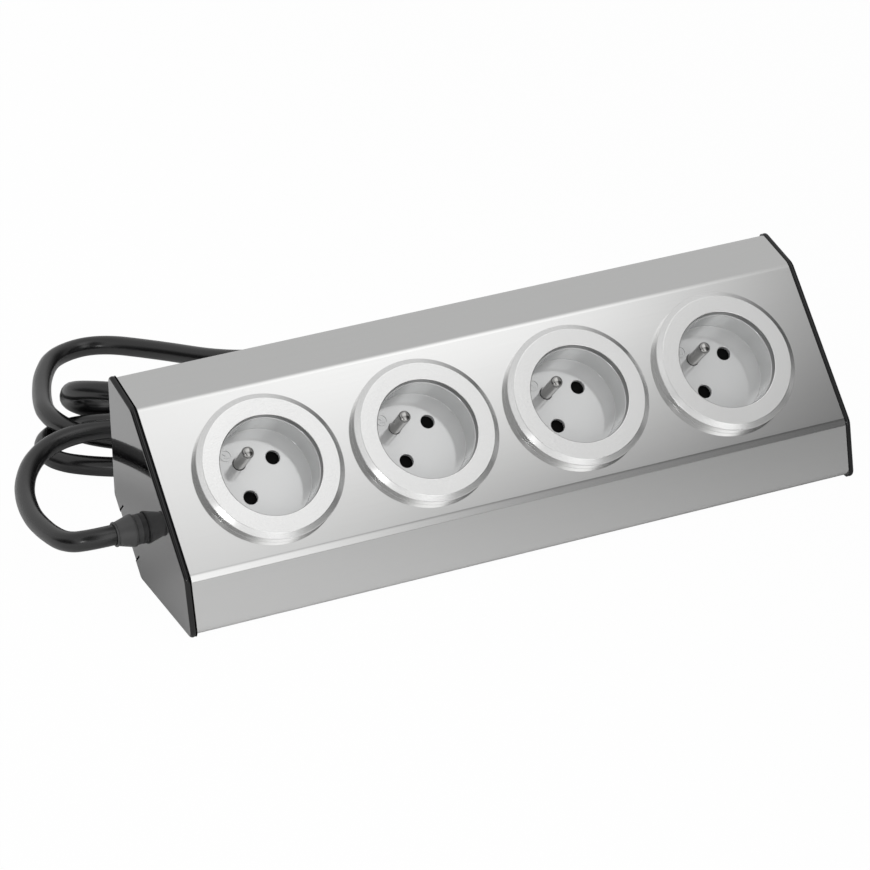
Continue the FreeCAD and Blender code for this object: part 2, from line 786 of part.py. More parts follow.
def make_earth_pin(label, frame):
    """Nickelled pin with a rounded tip, a collar under the deck and a push-in terminal."""
    tip = "Sizes.bezel_height - Sizes.earth_pin_drop"
    collar_under = f"{DECK_UNDER} - Sizes.earth_collar_height"
    body = new_body(f"{label}_body", frame * at(0, "Sizes.earth_offset", 0))
    revolve(body, [
        (0, TERMINAL_TOP),
        ("Sizes.earth_pin_radius", TERMINAL_TOP),
        ("Sizes.earth_pin_radius", collar_under),
        ("Sizes.earth_collar_radius", collar_under),
        ("Sizes.earth_collar_radius", DECK_UNDER),
        ("Sizes.earth_pin_radius", DECK_UNDER),
        ("Sizes.earth_pin_radius", tip),
        (0, tip),
    ])
    round_edges(body, is_circle_at("Sizes.earth_pin_radius", tip), "Sizes.earth_pin_dome")
    corner = ("-Sizes.terminal_spread / 2", "Sizes.earth_offset - Sizes.terminal_width / 2",
              TERMINAL_UNDER)
    foot = block(f"{label}_foot", frame, corner,
                 ("Sizes.terminal_spread", "Sizes.terminal_width", "Sizes.terminal_height"))
    centre = (0, size("earth_offset"))
    bored = drill(f"{label}_terminal", foot, terminal_bores(label, frame, centre, -90))
    return publish(join(f"{label}_joined", [body, bored]), label)


def make_rear_cover(label, frame):
    """Disc that closes the contact chamber, with a hole for each wire."""
    body = new_body(f"{label}_body", frame)
    disc = new_sketch(body, "XY_Plane", BASE_UNDER)
    add_circle(disc, 0, 0, "Sizes.base_radius")
    radius = "Sizes.wire_radius + Sizes.clearance"
    for sign in ("-", ""):
        near = f"{sign}Sizes.wire_pair / 2"
        add_circle(disc, HALF_PITCH, near, radius)
        add_circle(disc, f"-{HALF_PITCH}", near, radius)
        add_circle(disc, near, "Sizes.earth_offset", radius)
    pad(body, disc, "Sizes.rear_cover_thickness", reverse=True)
    return publish(body, label)


SOCKETS = [FACE * at(along, 0, 0, Rotation(Z_AXIS, size("socket_turn")))
           for along in socket_places()]
for number, frame in enumerate(SOCKETS, start=1):
    make_bezel(f"bezel_{number}", frame)
    make_socket_cup(f"socket_cup_{number}", frame)
    make_retaining_clip(f"retaining_clip_{number}", frame)
    make_shutter(f"shutter_{number}", frame)
    make_socket_base(f"socket_base_{number}", frame)
    make_contact_clips(f"contact_clips_{number}", frame)
    make_earth_pin(f"earth_pin_{number}", frame)
    make_rear_cover(f"rear_cover_{number}", frame)


# Tubes: straight runs joined by tangent arcs
RUN_SHARE = 0.45


def corner_arcs(points, largest=math.inf):
    """For each inner point, the start, middle and end of its tangent arc, and its radius."""
    arcs = []
    for before, corner, after in zip(points, points[1:], points[2:]):
        run_in, run_out = corner - before, after - corner
        half_turn = run_in.getAngle(run_out) / 2
        shorter = min(run_in.Length, run_out.Length)
        radius = min(largest, RUN_SHARE * shorter / math.tan(half_turn))
        reach = radius * math.tan(half_turn)
        towards, away = run_in.normalize(), run_out.normalize()
        inwards = (away - towards).normalize()
        middle = corner + inwards * (radius / math.cos(half_turn) - radius)
        arcs.append((corner - towards * reach, middle, corner + away * reach, radius))
    return arcs


def tube(begin, arcs, finish, radius):
    """A round tube along arcs and the straight pieces between them, and its path."""
    edges = []
    here = begin
    for start, middle, end, _ in arcs:
        edges.append(Part.LineSegment(here, start).toShape())
        edges.append(Part.Arc(start, middle, end).toShape())
        here = end
    edges.append(Part.LineSegment(here, finish).toShape())
    path = Part.Wire(edges)
    section = Part.Wire(Part.makeCircle(radius, begin, arcs[0][0] - begin))
    return path.makePipeShell([section], True, False), path


def shaped(name, shape):
    """An object that holds a shape made by hand."""
    obj = doc.addObject("Part::Feature", name)
    obj.Shape = shape
    return obj


# Wiring behind the sockets, in the frame of the face
POLES = {"live": 1, "neutral": -1, "earth": 0}
DROP = value(f"{BASE_UNDER} - Sizes.rear_cover_thickness - Sizes.wire_drop")
RUN_DEPTH = DROP - size("wire_run_drop")
WALL_INSIDE = BACK_CORNER[1] + size("tray_sheet")
LEAD_ACROSS, LEAD_UP = slope_point(size("gland_back") - FACE_BACK, size("gland_level") - FACE_LEVEL)
CAP_FACE = -HALF_LENGTH - size("cap_thickness")
SHEATH_END = CAP_FACE + size("sheath_inside")


def bore_end(index, pole, way):
    """The blind end of the incoming or outgoing bore of a pole, in the frame of the face."""
    half_pair = way * size("wire_pair") / 2
    height = value(f"{TERMINAL_UNDER} + Sizes.wire_grip")
    if POLES[pole] == 0:
        spot = Vector(half_pair, size("earth_offset"), height)
    else:
        spot = Vector(POLES[pole] * value(HALF_PITCH), -half_pair, height)
    return FACE.inverse().multVec(SOCKETS[index].multVec(spot))


def wire_tube(points):
    """A wire along points in the frame of the face."""
    row_points = [FACE.multVec(point) for point in points]
    arcs = corner_arcs(row_points, size("wire_bend"))
    return tube(row_points[0], arcs, row_points[-1], size("wire_radius"))[0]


def link_wire(index, pole):
    """Wire from the outgoing bore of a socket to the incoming bore of the next."""
    begin, finish = bore_end(index, pole, 1), bore_end(index + 1, pole, -1)
    across = size(f"{pole}_run")
    lead = size("wire_lead")
    return wire_tube([
        begin,
        Vector(begin.x, begin.y, DROP),
        Vector(begin.x + lead, across, RUN_DEPTH),
        Vector(finish.x - lead, across, RUN_DEPTH),
        Vector(finish.x, finish.y, DROP),
        finish,
    ])


def feed_wire(pole, angle, depth):
    """Wire from the end of the lead's sheath to the first socket."""
    turn = math.radians(angle)
    across = LEAD_ACROSS + size("core_circle") * math.cos(turn)
    up = LEAD_UP + size("core_circle") * math.sin(turn)
    finish = bore_end(0, pole, -1)
    lead = size("wire_lead")
    return wire_tube([
        Vector(SHEATH_END, across, up),
        Vector(SHEATH_END + lead / 2, across, up),
        Vector(finish.x - lead, finish.y, depth),
        Vector(finish.x, finish.y, DROP),
        finish,
    ])


def bonding_wire():
    """Wire from the last earth pin down to the lug on the stud of the tray."""
    begin = bore_end(len(SOCKETS) - 1, "earth", 1)
    level = WALL_INSIDE + size("wire_radius") + size("fit") / 2
    end = size("stud_place") - size("lug_reach")
    lead = size("wire_lead")
    return wire_tube([
        begin,
        Vector(begin.x, begin.y, DROP),
        Vector(begin.x + lead, begin.y - lead / 4, RUN_DEPTH),
        Vector(end - lead, 0, level),
        Vector(end, 0, level),
    ])


def make_lug():
    """Crimped ring terminal that lies on the tray round the stud."""
    place = at(size("stud_place"), 0, WALL_INSIDE)
    ring = rod("lug_ring", FACE * place, (0, 0, 0), "Sizes.lug_radius", "Sizes.lug_thickness")
    corner = ("-Sizes.lug_reach", "-Sizes.wire_radius - Sizes.clearance", 0)
    lengths = ("Sizes.lug_barrel", "2 * (Sizes.wire_radius + Sizes.clearance)",
               "2 * Sizes.wire_radius + Sizes.clearance")
    barrel = block("lug_barrel", FACE * place, corner, lengths)
    hole = rod("lug_hole", FACE * place, (0, 0, -1), "Sizes.stud_radius + Sizes.fit",
               "Sizes.lug_thickness + 2")
    return drill("lug", join("lug_joined", [ring, barrel]), [hole])


def make_wires(pole, angle, depth, extra):
    """All the wires of one pole, with whatever else belongs to them."""
    links = [link_wire(index, pole) for index in range(len(SOCKETS) - 1)]
    tubes = [feed_wire(pole, angle, depth)] + links
    members = [shaped(f"{pole}_wire_{k}", shape) for k, shape in enumerate(tubes)]
    return publish(group(f"{pole}_group", members + extra), f"{pole}_wires")


def hexagon(name, frame, base, flats, height, hole):
    """A nut: a six-sided prism with a round hole."""
    prism = solid("Prism", f"{name}_prism", frame * at(*base), Polygon=6,
                  Circumradius=f"{flats} / 2 / cos(30)", Height=height)
    x, y, z = base
    bore = rod(f"{name}_bore", frame, (x, y, f"{value(z)} - 1"), hole, f"{height} + 2")
    return drill(f"{name}_cut", prism, [bore])


make_wires("live", 270, RUN_DEPTH, [])
make_wires("neutral", 150, DROP - size("wire_radius"), [])
make_wires("earth", 30, DROP - size("wire_radius"),
           [shaped("bonding_wire", bonding_wire()), make_lug()])
STUD = FACE * at(size("stud_place"), 0, WALL_INSIDE)
publish(rod("stud_rod", STUD, (0, 0, 0), "Sizes.stud_radius", "Sizes.stud_height"), "earth_stud")
publish(hexagon("earth_nut_body", STUD, (0, 0, "Sizes.lug_thickness"), "Sizes.nut_flats",
                "Sizes.nut_height", "Sizes.stud_radius + Sizes.fit"), "earth_nut")


# Lead entry, in a frame at the left cap with X along the lead's axis
ENTRY = FACE * at(CAP_FACE, LEAD_ACROSS, LEAD_UP)
CABLE_HOLE = "Sizes.cable_radius + Sizes.fit"


def make_gland():
    """Moulded cable gland: threaded shank through the cap, ring and tapered nose."""
    shank_end = "-Sizes.cap_thickness - Sizes.gland_nut_length - Sizes.gland_lip"
    lip_start = "Sizes.gland_length - Sizes.gland_lip"
    body = new_body("gland_body", GLAND)
    revolve(body, [
        (CABLE_HOLE, shank_end),
        ("Sizes.gland_shank_radius", shank_end),
        ("Sizes.gland_shank_radius", 0),
        ("Sizes.gland_base_radius", 0),
        ("Sizes.gland_base_radius", "Sizes.gland_ring_place - Sizes.gland_lip"),
        ("Sizes.gland_ring_radius", "Sizes.gland_ring_place - Sizes.gland_lip / 2"),
        ("Sizes.gland_ring_radius", "Sizes.gland_ring_place + Sizes.gland_lip / 2"),
        ("Sizes.gland_nose_radius - Sizes.gland_lip / 3", lip_start),
        ("Sizes.gland_nose_radius", lip_start),
        ("Sizes.gland_nose_radius", "Sizes.gland_length"),
        (CABLE_HOLE, "Sizes.gland_length"),
    ])
    return publish(body, "cable_gland")


def make_clamp():
    """Cord clamp on the sloping wall: base block, strap and two screws."""
    drop = LEAD_UP - WALL_INSIDE
    side = ("Sizes.clamp_start", "-Sizes.clamp_half_width")
    width = "2 * Sizes.clamp_half_width"
    base = block("clamp_base_block", ENTRY, (*side, -drop), ("Sizes.clamp_length", width, drop))
    strap = block("clamp_strap_block", ENTRY, (*side, 0),
                  ("Sizes.clamp_length", width, "Sizes.clamp_strap"))
    middle = "Sizes.clamp_start + Sizes.clamp_length / 2"
    tools = {}
    for member in ("base", "strap"):
        groove = rod(f"clamp_{member}_groove", ENTRY, ("Sizes.clamp_start - 1", 0, 0), CABLE_HOLE,
                     "Sizes.clamp_length + 2", Rotation(Y_AXIS, 90))
        tools[member] = [groove]
    screws = []
    for k, sign in enumerate((-1, 1)):
        spot = ENTRY * at(middle, f"{sign} * Sizes.clamp_screw_offset", "Sizes.clamp_strap")
        head = rod(f"clamp_screw_head_{k}", spot, (0, 0, 0), "Sizes.clamp_screw_head",
                   "Sizes.clamp_screw_radius")
        shank = rod(f"clamp_screw_shank_{k}", spot, (0, 0, "-Sizes.clamp_screw_length"),
                    "Sizes.clamp_screw_radius", "Sizes.clamp_screw_length")
        screws.append(join(f"clamp_screw_{k}", [head, shank]))
        for member, holes in tools.items():
            holes.append(rod(f"clamp_{member}_hole_{k}", spot,
                             (0, 0, "-Sizes.clamp_screw_length - Sizes.fit"),
                             "Sizes.clamp_screw_radius + Sizes.fit", "Sizes.clamp_screw_length + 1"))
    publish(drill("clamp_base_cut", base, tools["base"]), "cord_clamp_base")
    publish(drill("clamp_strap_cut", strap, tools["strap"]), "cord_clamp_strap")
    publish(group("clamp_screw_pair", screws), "cord_clamp_screws")


def make_cable_entry():
    """The straight stretch of the lead from the cores through the clamp and the gland."""
    start = (-size("gland_length"), 0, 0)
    entry = rod("entry_rod", ENTRY, start, "Sizes.cable_radius",
                "Sizes.gland_length + Sizes.sheath_inside", Rotation(Y_AXIS, 90))
    return publish(entry, "cable_entry")


make_gland()
publish(hexagon("gland_nut_body", GLAND,
                (0, 0, "-Sizes.cap_thickness - Sizes.gland_nut_length"), "Sizes.gland_nut_flats",
                "Sizes.gland_nut_length", "Sizes.gland_shank_radius + Sizes.fit"), "gland_nut")
make_clamp()
make_cable_entry()


# Plug, in a frame where Z runs from the end of its strain relief to its pins
PLUG_LEVEL = size("plug_flange_radius") + size("clearance")
PLUG = Placement(
    Vector(size("plug_place"), size("plug_back"), PLUG_LEVEL),
    Rotation(Y_AXIS, 90) * Rotation(Z_AXIS, 90))
GRIP_START = "(Sizes.relief_length + Sizes.plug_shoulder)"
FLANGE_START = f"({GRIP_START} + Sizes.plug_grip_length)"
NOSE_START = f"({FLANGE_START} + Sizes.plug_flange_length)"
PLUG_FACE = f"({NOSE_START} + Sizes.plug_nose_length)"


def make_plug_body():
    """Straight two-way earthed plug with its moulded strain relief."""
    body = new_body("plug_moulding", PLUG)
    revolve(body, [
        (0, 0),
        ("Sizes.relief_end_radius", 0),
        ("Sizes.relief_root_radius", "Sizes.relief_length"),
        ("Sizes.plug_grip_radius", GRIP_START),
        ("Sizes.plug_grip_radius", FLANGE_START),
        ("Sizes.plug_flange_radius", FLANGE_START),
        ("Sizes.plug_flange_radius", NOSE_START),
        ("Sizes.plug_nose_radius", NOSE_START),
        ("Sizes.plug_nose_radius", PLUG_FACE),
        (0, PLUG_FACE),
    ])
    tests = [is_circle_at("Sizes.plug_grip_radius", GRIP_START),
             is_circle_at("Sizes.plug_flange_radius", FLANGE_START),
             is_circle_at("Sizes.plug_nose_radius", PLUG_FACE)]
    round_edges(body, lambda edge: any(test(edge) for test in tests), "Sizes.plug_rounding")
    tools = []
    reach = "2 * Sizes.plug_flange_radius"
    for k, sign in enumerate((-1, 1)):
        side = PLUG * at(0, 0, 0, Rotation(Z_AXIS, 90 * sign))
        tools.append(block(f"plug_flat_{k}", side, ("Sizes.plug_flat_half", f"-{reach} / 2", NOSE_START),
                           (reach, reach, "Sizes.plug_nose_length + 1")))
        tools.append(block(f"plug_grip_{k}", side,
                           ("Sizes.plug_grip_flat", f"-{reach} / 2", f"{GRIP_START} + Sizes.plug_shoulder"),
                           (reach, reach, "Sizes.plug_grip_length - 2 * Sizes.plug_shoulder")))
    tools.append(rod("plug_earth_hole", PLUG, (0, "Sizes.earth_offset", NOSE_START),
                     "Sizes.plug_pin_radius + Sizes.fit + Sizes.plug_earth_sheet",
                     "Sizes.plug_nose_length + 1"))
    return publish(drill("plug_body_cut", body, tools), "plug_body")


def make_plug_pins():
    """Two round pins with domed tips."""
    pins = []
    for k, sign in enumerate((-1, 1)):
        body = new_body(f"plug_pin_{k}", PLUG * at(f"{sign} * {HALF_PITCH}", 0, PLUG_FACE))
        circle = new_sketch(body, "XY_Plane", 0)
        add_circle(circle, 0, 0, "Sizes.plug_pin_radius")
        pad(body, circle, "Sizes.plug_pin_length")
        round_edges(body, is_circle_at("Sizes.plug_pin_radius", "Sizes.plug_pin_length"),
                    "Sizes.earth_pin_dome")
        pins.append(body)
    return publish(group("plug_pin_pair", pins), "plug_pins")


def make_plug_earth_contacts():
    """Sleeve that takes an earth pin, and a spring strip on each flat of the nose."""
    outer = "Sizes.plug_pin_radius + Sizes.fit + Sizes.plug_earth_sheet"
    spot = (0, "Sizes.earth_offset", NOSE_START)
    sleeve = rod("plug_sleeve_outer", PLUG, spot, outer, "Sizes.plug_nose_length")
    hole = rod("plug_sleeve_hole", PLUG, (0, "Sizes.earth_offset", f"{NOSE_START} + 1"),
               "Sizes.plug_pin_radius + Sizes.fit", "Sizes.plug_nose_length")
    members = [drill("plug_sleeve", sleeve, [hole])]
    for k, sign in enumerate((-1, 1)):
        side = PLUG * at(0, 0, 0, Rotation(Z_AXIS, 90 * sign))
        corner = ("Sizes.plug_flat_half", "-Sizes.plug_earth_width / 2", NOSE_START)
        members.append(block(f"plug_strip_{k}", side, corner,
                             ("Sizes.plug_earth_sheet", "Sizes.plug_earth_width",
                              "Sizes.plug_nose_length - Sizes.plug_rounding")))
    return publish(group("plug_contact_group", members), "plug_earth_contacts")


make_plug_body()
make_plug_pins()
make_plug_earth_contacts()


# Route of the lead on the ground behind the strip, point by point
NOSE_END = CAP_FACE - size("gland_length")
BEND_CENTRE_X, BEND_CENTRE_Y, BEND_RADIUS = -22.0, 92.0, 33.0
BEND_POINTS = 5
FRONT_LOOP = [
    (NOSE_END, size("gland_back"), size("gland_level")),
    (-162.2, size("gland_back"), size("gland_level")),
    (-170, 18, 20.5), (-172.5, 33, 18.5), (-172.5, 52, 17), (-167, 75, 17), (-155, 93, 19),
    (-138, 99, 21.5), (-116, 94, 21.7), (-86, 80, 19.4), (-54, 64, 16.3),
]
INNER_LOOP = [
    (-55, 130.5, 9.2), (-88, 139, 4.8), (-111, 145, 4.6), (-122, 143, 12), (-125, 134, 20.5),
    (-127, 122, 28), (-117, 108, 31.7), (-90, 90, 30.5), (-54, 66, 25.5),
]
OUTER_LOOP = [
    (-38, 126.5, 20.2), (-54, 145, 14.6), (-71, 173, 10.5), (-91, 194, 9), (-111, 191, 9),
    (-122, 175, 9.7), (-130, 155, 10.6), (-135.5, 134, 12.8), (-130, 113, 13), (-110, 96, 12.4),
    (-82, 79, 9.8), (-50, 62.5, 7.6),
]
GROUND_LOOP = [
    (-48, 117.5, 4.2), (-75, 121, 4.2), (-102, 129, 4.2), (-125, 138, 4.2), (-140.5, 129, 4.2),
    (-142, 112, 4.2), (-128, 99, 4.2), (-105, 87, 4.2), (-79, 68, 4.2), (-50, 53, 4.2),
]
TAIL = [
    (-22, 48, 4.2), (0, 49, 5.5), (18, 53, 9.5), (33, 59, 15),
    (46, size("plug_back"), PLUG_LEVEL),
    (size("plug_place"), size("plug_back"), PLUG_LEVEL),
]


def half_circle(level):
    """Points of a half circle at the right of the bundle, walked away from the strip."""
    step = math.pi / BEND_POINTS
    reach = BEND_RADIUS / math.cos(step / 2)
    points = []
    for k in range(BEND_POINTS):
        turn = step * (k + 0.5)
        points.append((BEND_CENTRE_X + reach * math.sin(turn),
                       BEND_CENTRE_Y - reach * math.cos(turn), level))
    return points


LOOPS = half_circle(13) + INNER_LOOP + half_circle(21.7) + OUTER_LOOP + half_circle(4.2)
ROUTE = [Vector(*point) for point in FRONT_LOOP + LOOPS + GROUND_LOOP + TAIL]
HANK_START = len(FRONT_LOOP) - 2
HANK_END = len(FRONT_LOOP + LOOPS + GROUND_LOOP) - 1


def least_gap(path, radius, step=1.5):
    """The least gap between stretches of one tube that aren't neighbours along it."""
    count = int(path.Length / step)
    points = path.discretize(Number=count)
    apart = int(6 * radius / step)
    return min(points[k].distanceToPoint(points[other])
               for k in range(count) for other in range(k + apart, count)) - 2 * radius


def make_lead():
    """The free stretch, the loose hank and the tail of the lead, end to end."""
    radius = size("cable_radius")
    arcs = corner_arcs(ROUTE)
    radii = [arc[3] for arc in arcs]
    print("lead radii:", ", ".join(f"{radius_here:.0f}" for radius_here in radii))
    cuts = [(ROUTE[k] + ROUTE[k + 1]) / 2 for k in (HANK_START, HANK_END)]
    stretches = {
        "cable": (ROUTE[0], arcs[:HANK_START], cuts[0]),
        "cable_hank": (cuts[0], arcs[HANK_START:HANK_END], cuts[1]),
        "cable_tail": (cuts[1], arcs[HANK_END:], ROUTE[-1]),
    }
    section = math.pi * radius * radius
    for label, (begin, bends, finish) in stretches.items():
        shape, path = tube(begin, bends, finish, radius)
        print(f"{label}: length {path.Length:.1f}, volume {shape.Volume:.1f}, "
              f"section times length {section * path.Length:.1f}")
        publish(shaped(f"{label}_tube", shape), label)
    whole = tube(ROUTE[0], arcs, ROUTE[-1], radius)[1]
    print(f"lead: free length {whole.Length:.1f}, least gap {least_gap(whole, radius):.2f}")


make_lead()

# Checks and files
doc.recompute()
for obj in doc.Objects:
    if "Invalid" in obj.State or "Error" in obj.State:
        raise RuntimeError(f"{obj.Name} failed: {obj.State}")
for piece in pieces:
    if piece.Shape.isNull() or not piece.Shape.isValid():
        raise RuntimeError(f"{piece.Label} has no valid shape")
os.makedirs("parts", exist_ok=True)
for piece in pieces:
    piece.Shape.exportStep(f"parts/{piece.Label}.step")
    box = piece.Shape.BoundBox
    print(f"{piece.Label}: {len(piece.Shape.Solids)} solid(s), {piece.Shape.Volume:.1f} mm3, "
          f"{box.XLength:.2f} x {box.YLength:.2f} x {box.ZLength:.2f} mm")
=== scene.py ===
"""Looks of a four-way furniture power strip: steel housing, sockets, end caps and lead.

Everything is in metres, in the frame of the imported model. The socket face slopes at 45
degrees, and what stands on it is built in a frame of its own: X along the strip, Y up the
slope and Z out of the face. Each socket has a further frame, turned in the face, so that its
X runs through the two contact holes and its Y points to the earth pin.
"""

from __future__ import annotations

import logging
import math
from collections.abc import Callable, Iterable, Sequence
from dataclasses import dataclass, replace
from enum import Enum
from functools import cache, reduce

import bmesh
import bpy
from mathutils import Matrix, Vector


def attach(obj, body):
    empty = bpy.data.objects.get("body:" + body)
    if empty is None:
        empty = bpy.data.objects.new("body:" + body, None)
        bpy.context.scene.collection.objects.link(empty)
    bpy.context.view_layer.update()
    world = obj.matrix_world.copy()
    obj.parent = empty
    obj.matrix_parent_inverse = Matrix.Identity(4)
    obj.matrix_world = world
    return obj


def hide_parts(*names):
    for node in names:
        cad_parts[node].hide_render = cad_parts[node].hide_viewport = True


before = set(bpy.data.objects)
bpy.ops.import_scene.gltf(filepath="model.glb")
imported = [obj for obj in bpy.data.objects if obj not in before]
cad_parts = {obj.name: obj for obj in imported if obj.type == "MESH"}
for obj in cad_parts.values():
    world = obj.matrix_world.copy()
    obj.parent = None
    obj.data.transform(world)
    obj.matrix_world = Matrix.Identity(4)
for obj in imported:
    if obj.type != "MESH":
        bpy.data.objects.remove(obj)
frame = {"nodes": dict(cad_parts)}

LOG = logging.getLogger("power_strip")
MM = 0.001
# How far a cutter reaches past what it cuts, in millimetres
PAST = 1.0
# What is one point, in metres, and what is one plane, in degrees, in a CAD node's mesh
WELD = 2e-6
FLAT = 0.6
HOUSING = "housing"

Colour = tuple[float, float, float]
Corner = tuple[float, float, float]
Spot = tuple[float, float]


# Meshes
class Boolean(Enum):
    """What a tool does to a piece."""

    CUT = "DIFFERENCE"
    ADD = "UNION"
    KEEP = "INTERSECT"


def link(obj: bpy.types.Object) -> bpy.types.Object:
    """Put an object in the scene and return it."""
    bpy.context.scene.collection.objects.link(obj)
    return obj


def object_from(name: str, form: bmesh.types.BMesh, place: Matrix) -> bpy.types.Object:
    """Turn a bmesh in millimetres into an object in metres.

    Args:
        name: The object's name.
        form: The shape, which is freed here.
        place: Where the shape goes, in metres.

    Returns:
        An object at the origin whose place is in its mesh.
    """
    bmesh.ops.recalc_face_normals(form, faces=form.faces)
    mesh = bpy.data.meshes.new(name)
    form.to_mesh(mesh)
    form.free()
    mesh.transform(place @ Matrix.Scale(MM, 4))
    return link(bpy.data.objects.new(name, mesh))


def fillet(corners: Sequence[Corner], closed: bool = True, steps: int = 6) -> list[Spot]:
    """Round the corners of an outline.

    Args:
        corners: Across, up and rounding of each corner.
        closed: Whether the last corner joins the first.
        steps: Straight pieces in each rounding.

    Returns:
        The points of the rounded outline.
    """
    points: list[Spot] = []
    count = len(corners)
    for k, (across, up, rounding) in enumerate(corners):
        here = Vector((across, up))
        if rounding <= 0 or (not closed and k in (0, count - 1)):
            points.append((across, up))
            continue
        to_last = (Vector(corners[k - 1][:2]) - here).normalized()
        to_next = (Vector(corners[(k + 1) % count][:2]) - here).normalized()
        half = math.acos(max(-1.0, min(1.0, to_last.dot(to_next)))) / 2
        centre = here + (to_last + to_next).normalized() * (rounding / math.sin(half))
        start = here + to_last * (rounding / math.tan(half)) - centre
        end = here + to_next * (rounding / math.tan(half)) - centre
        turn = math.atan2(start.x * end.y - start.y * end.x, start.dot(end))
        for step in range(steps + 1):
            angle = turn * step / steps
            across_now = start.x * math.cos(angle) - start.y * math.sin(angle)
            up_now = start.x * math.sin(angle) + start.y * math.cos(angle)
            points.append((centre.x + across_now, centre.y + up_now))
    return points


def lathe(name: str, outline: Sequence[Spot], place: Matrix, closed: bool = True,
          steps: int = 128) -> bpy.types.Object:
    """Turn an outline about the Z axis of a frame.

    Args:
        name: The object's name.
        outline: Radius and height of each point, in millimetres.
        place: The frame, in metres.
        closed: True for a ring. Otherwise both ends are closed with a flat disc.
        steps: Faces round the axis.

    Returns:
        The turned piece.
    """
    form = bmesh.new()
    angles = [2 * math.pi * step / steps for step in range(steps)]
    rings = [[form.verts.new((radius * math.cos(angle), radius * math.sin(angle), height))
              for angle in angles] for radius, height in outline]
    pairs = list(zip(rings, rings[1:]))
    if closed:
        pairs.append((rings[-1], rings[0]))
    else:
        form.faces.new(rings[0])
        form.faces.new(rings[-1])
    for low, high in pairs:
        for step in range(steps):
            after = (step + 1) % steps
            form.faces.new((low[step], low[after], high[after], high[step]))
    return object_from(name, form, place)


def drawn(name: str, outline: Sequence[Spot], start: float, end: float,
          place: Matrix) -> bpy.types.Object:
    """Draw an outline, given as Y and Z, along the X axis of a frame.

    Args:
        name: The object's name.
        outline: Y and Z of each point, in millimetres.
        start: Where the piece begins on X.
        end: Where it stops.
        place: The frame, in metres.

    Returns:
        The drawn piece.
    """
    form = bmesh.new()
    near = [form.verts.new((start, across, up)) for across, up in outline]
    far = [form.verts.new((end, across, up)) for across, up in outline]
    form.faces.new(near)
    form.faces.new(far)
    count = len(outline)
    for k in range(count):
        after = (k + 1) % count
        form.faces.new((near[k], near[after], far[after], far[k]))
    return object_from(name, form, place)


def bar(name: str, low: Corner, high: Corner, place: Matrix) -> bpy.types.Object:
    """A plain block between two corners in millimetres, used to cut or to be bevelled."""
    outline = [(low[1], low[2]), (high[1], low[2]), (high[1], high[2]), (low[1], high[2])]
    return drawn(name, outline, low[0], high[0], place)


def post(name: str, radius: float, low: float, high: float, place: Matrix,
         steps: int = 64) -> bpy.types.Object:
    """A plain round post along Z of a frame, used to cut."""
    return lathe(name, [(radius, low), (radius, high)], place, closed=False, steps=steps)


def baked(obj: bpy.types.Object) -> bpy.types.Object:
    """Apply an object's modifiers to its mesh.

    Args:
        obj: The object.

    Returns:
        The same object, without modifiers.
    """
    graph = bpy.context.evaluated_depsgraph_get()
    mesh = bpy.data.meshes.new_from_object(obj.evaluated_get(graph), depsgraph=graph)
    obj.modifiers.clear()
    obj.data = mesh
    return obj


def carved(obj: bpy.types.Object, tools: Iterable[bpy.types.Object],
           operation: Boolean = Boolean.CUT) -> bpy.types.Object:
    """Cut a piece with tools, add them to it or keep what they share, and delete the tools.

    Args:
        obj: The piece.
        tools: Closed shapes.
        operation: What they do to it.

    Returns:
        The piece with its new mesh.
    """
    tools = list(tools)
    for tool in tools:
        modifier = obj.modifiers.new("carve", "BOOLEAN")
        modifier.operation = operation.value
        modifier.solver = "EXACT"
        modifier.object = tool
    baked(obj)
    for tool in tools:
        bpy.data.objects.remove(tool)
    return obj


def softened(obj: bpy.types.Object, width: float, segments: int = 3,
             angle: float = 35.0) -> bpy.types.Object:
    """Break the sharp edges of a piece and shade it smooth.

    Args:
        obj: The piece.
        width: Width of the broken edge, in millimetres, or 0 to leave the shape as it is.
        segments: Faces across the broken edge.
        angle: Edges that turn more than this, in degrees, are broken or stay sharp.

    Returns:
        The same piece.
    """
    obj.data.polygons.foreach_set("use_smooth", [True] * len(obj.data.polygons))
    if width > 0:
        bevel = obj.modifiers.new("edges", "BEVEL")
        bevel.width = width * MM
        bevel.segments = segments
        bevel.limit_method = "ANGLE"
        bevel.angle_limit = math.radians(angle)
        bevel.use_clamp_overlap = True
    else:
        obj.data.set_sharp_from_angle(angle=math.radians(angle))
    normals = obj.modifiers.new("normals", "WEIGHTED_NORMAL")
    normals.keep_sharp = True
    return baked(obj)


def refined(node: str, name: str, width: float, angle: float = 30.0) -> bpy.types.Object:
    """A merged copy of a CAD node with broken edges and smooth bends.

    Args:
        node: The CAD node.
        name: The name of the new piece.
        width: Width of the broken edges, in millimetres.
        angle: Edges that turn more than this, in degrees, are broken.

    Returns:
        The new piece, which stands for nothing yet.
    """
    form = bmesh.new()
    form.from_mesh(frame["nodes"][node].data)
    bmesh.ops.remove_doubles(form, verts=form.verts, dist=WELD)
    bmesh.ops.dissolve_limit(form, angle_limit=math.radians(FLAT), verts=form.verts,
                             edges=form.edges)
    mesh = bpy.data.meshes.new(name)
    form.to_mesh(mesh)
    form.free()
    obj = link(bpy.data.objects.new(name, mesh))
    return softened(obj, width, angle=angle)


# Frames on the housing
FACE_BACK = -9.906
FACE_LEVEL = 48.3
FACE = Matrix.Translation((0, FACE_BACK * MM, FACE_LEVEL * MM)) @ Matrix.Rotation(
    math.radians(45), 4, "X")


def shift(x: float, y: float, z: float) -> Matrix:
    """A move in millimetres."""
    return Matrix.Translation((x * MM, y * MM, z * MM))


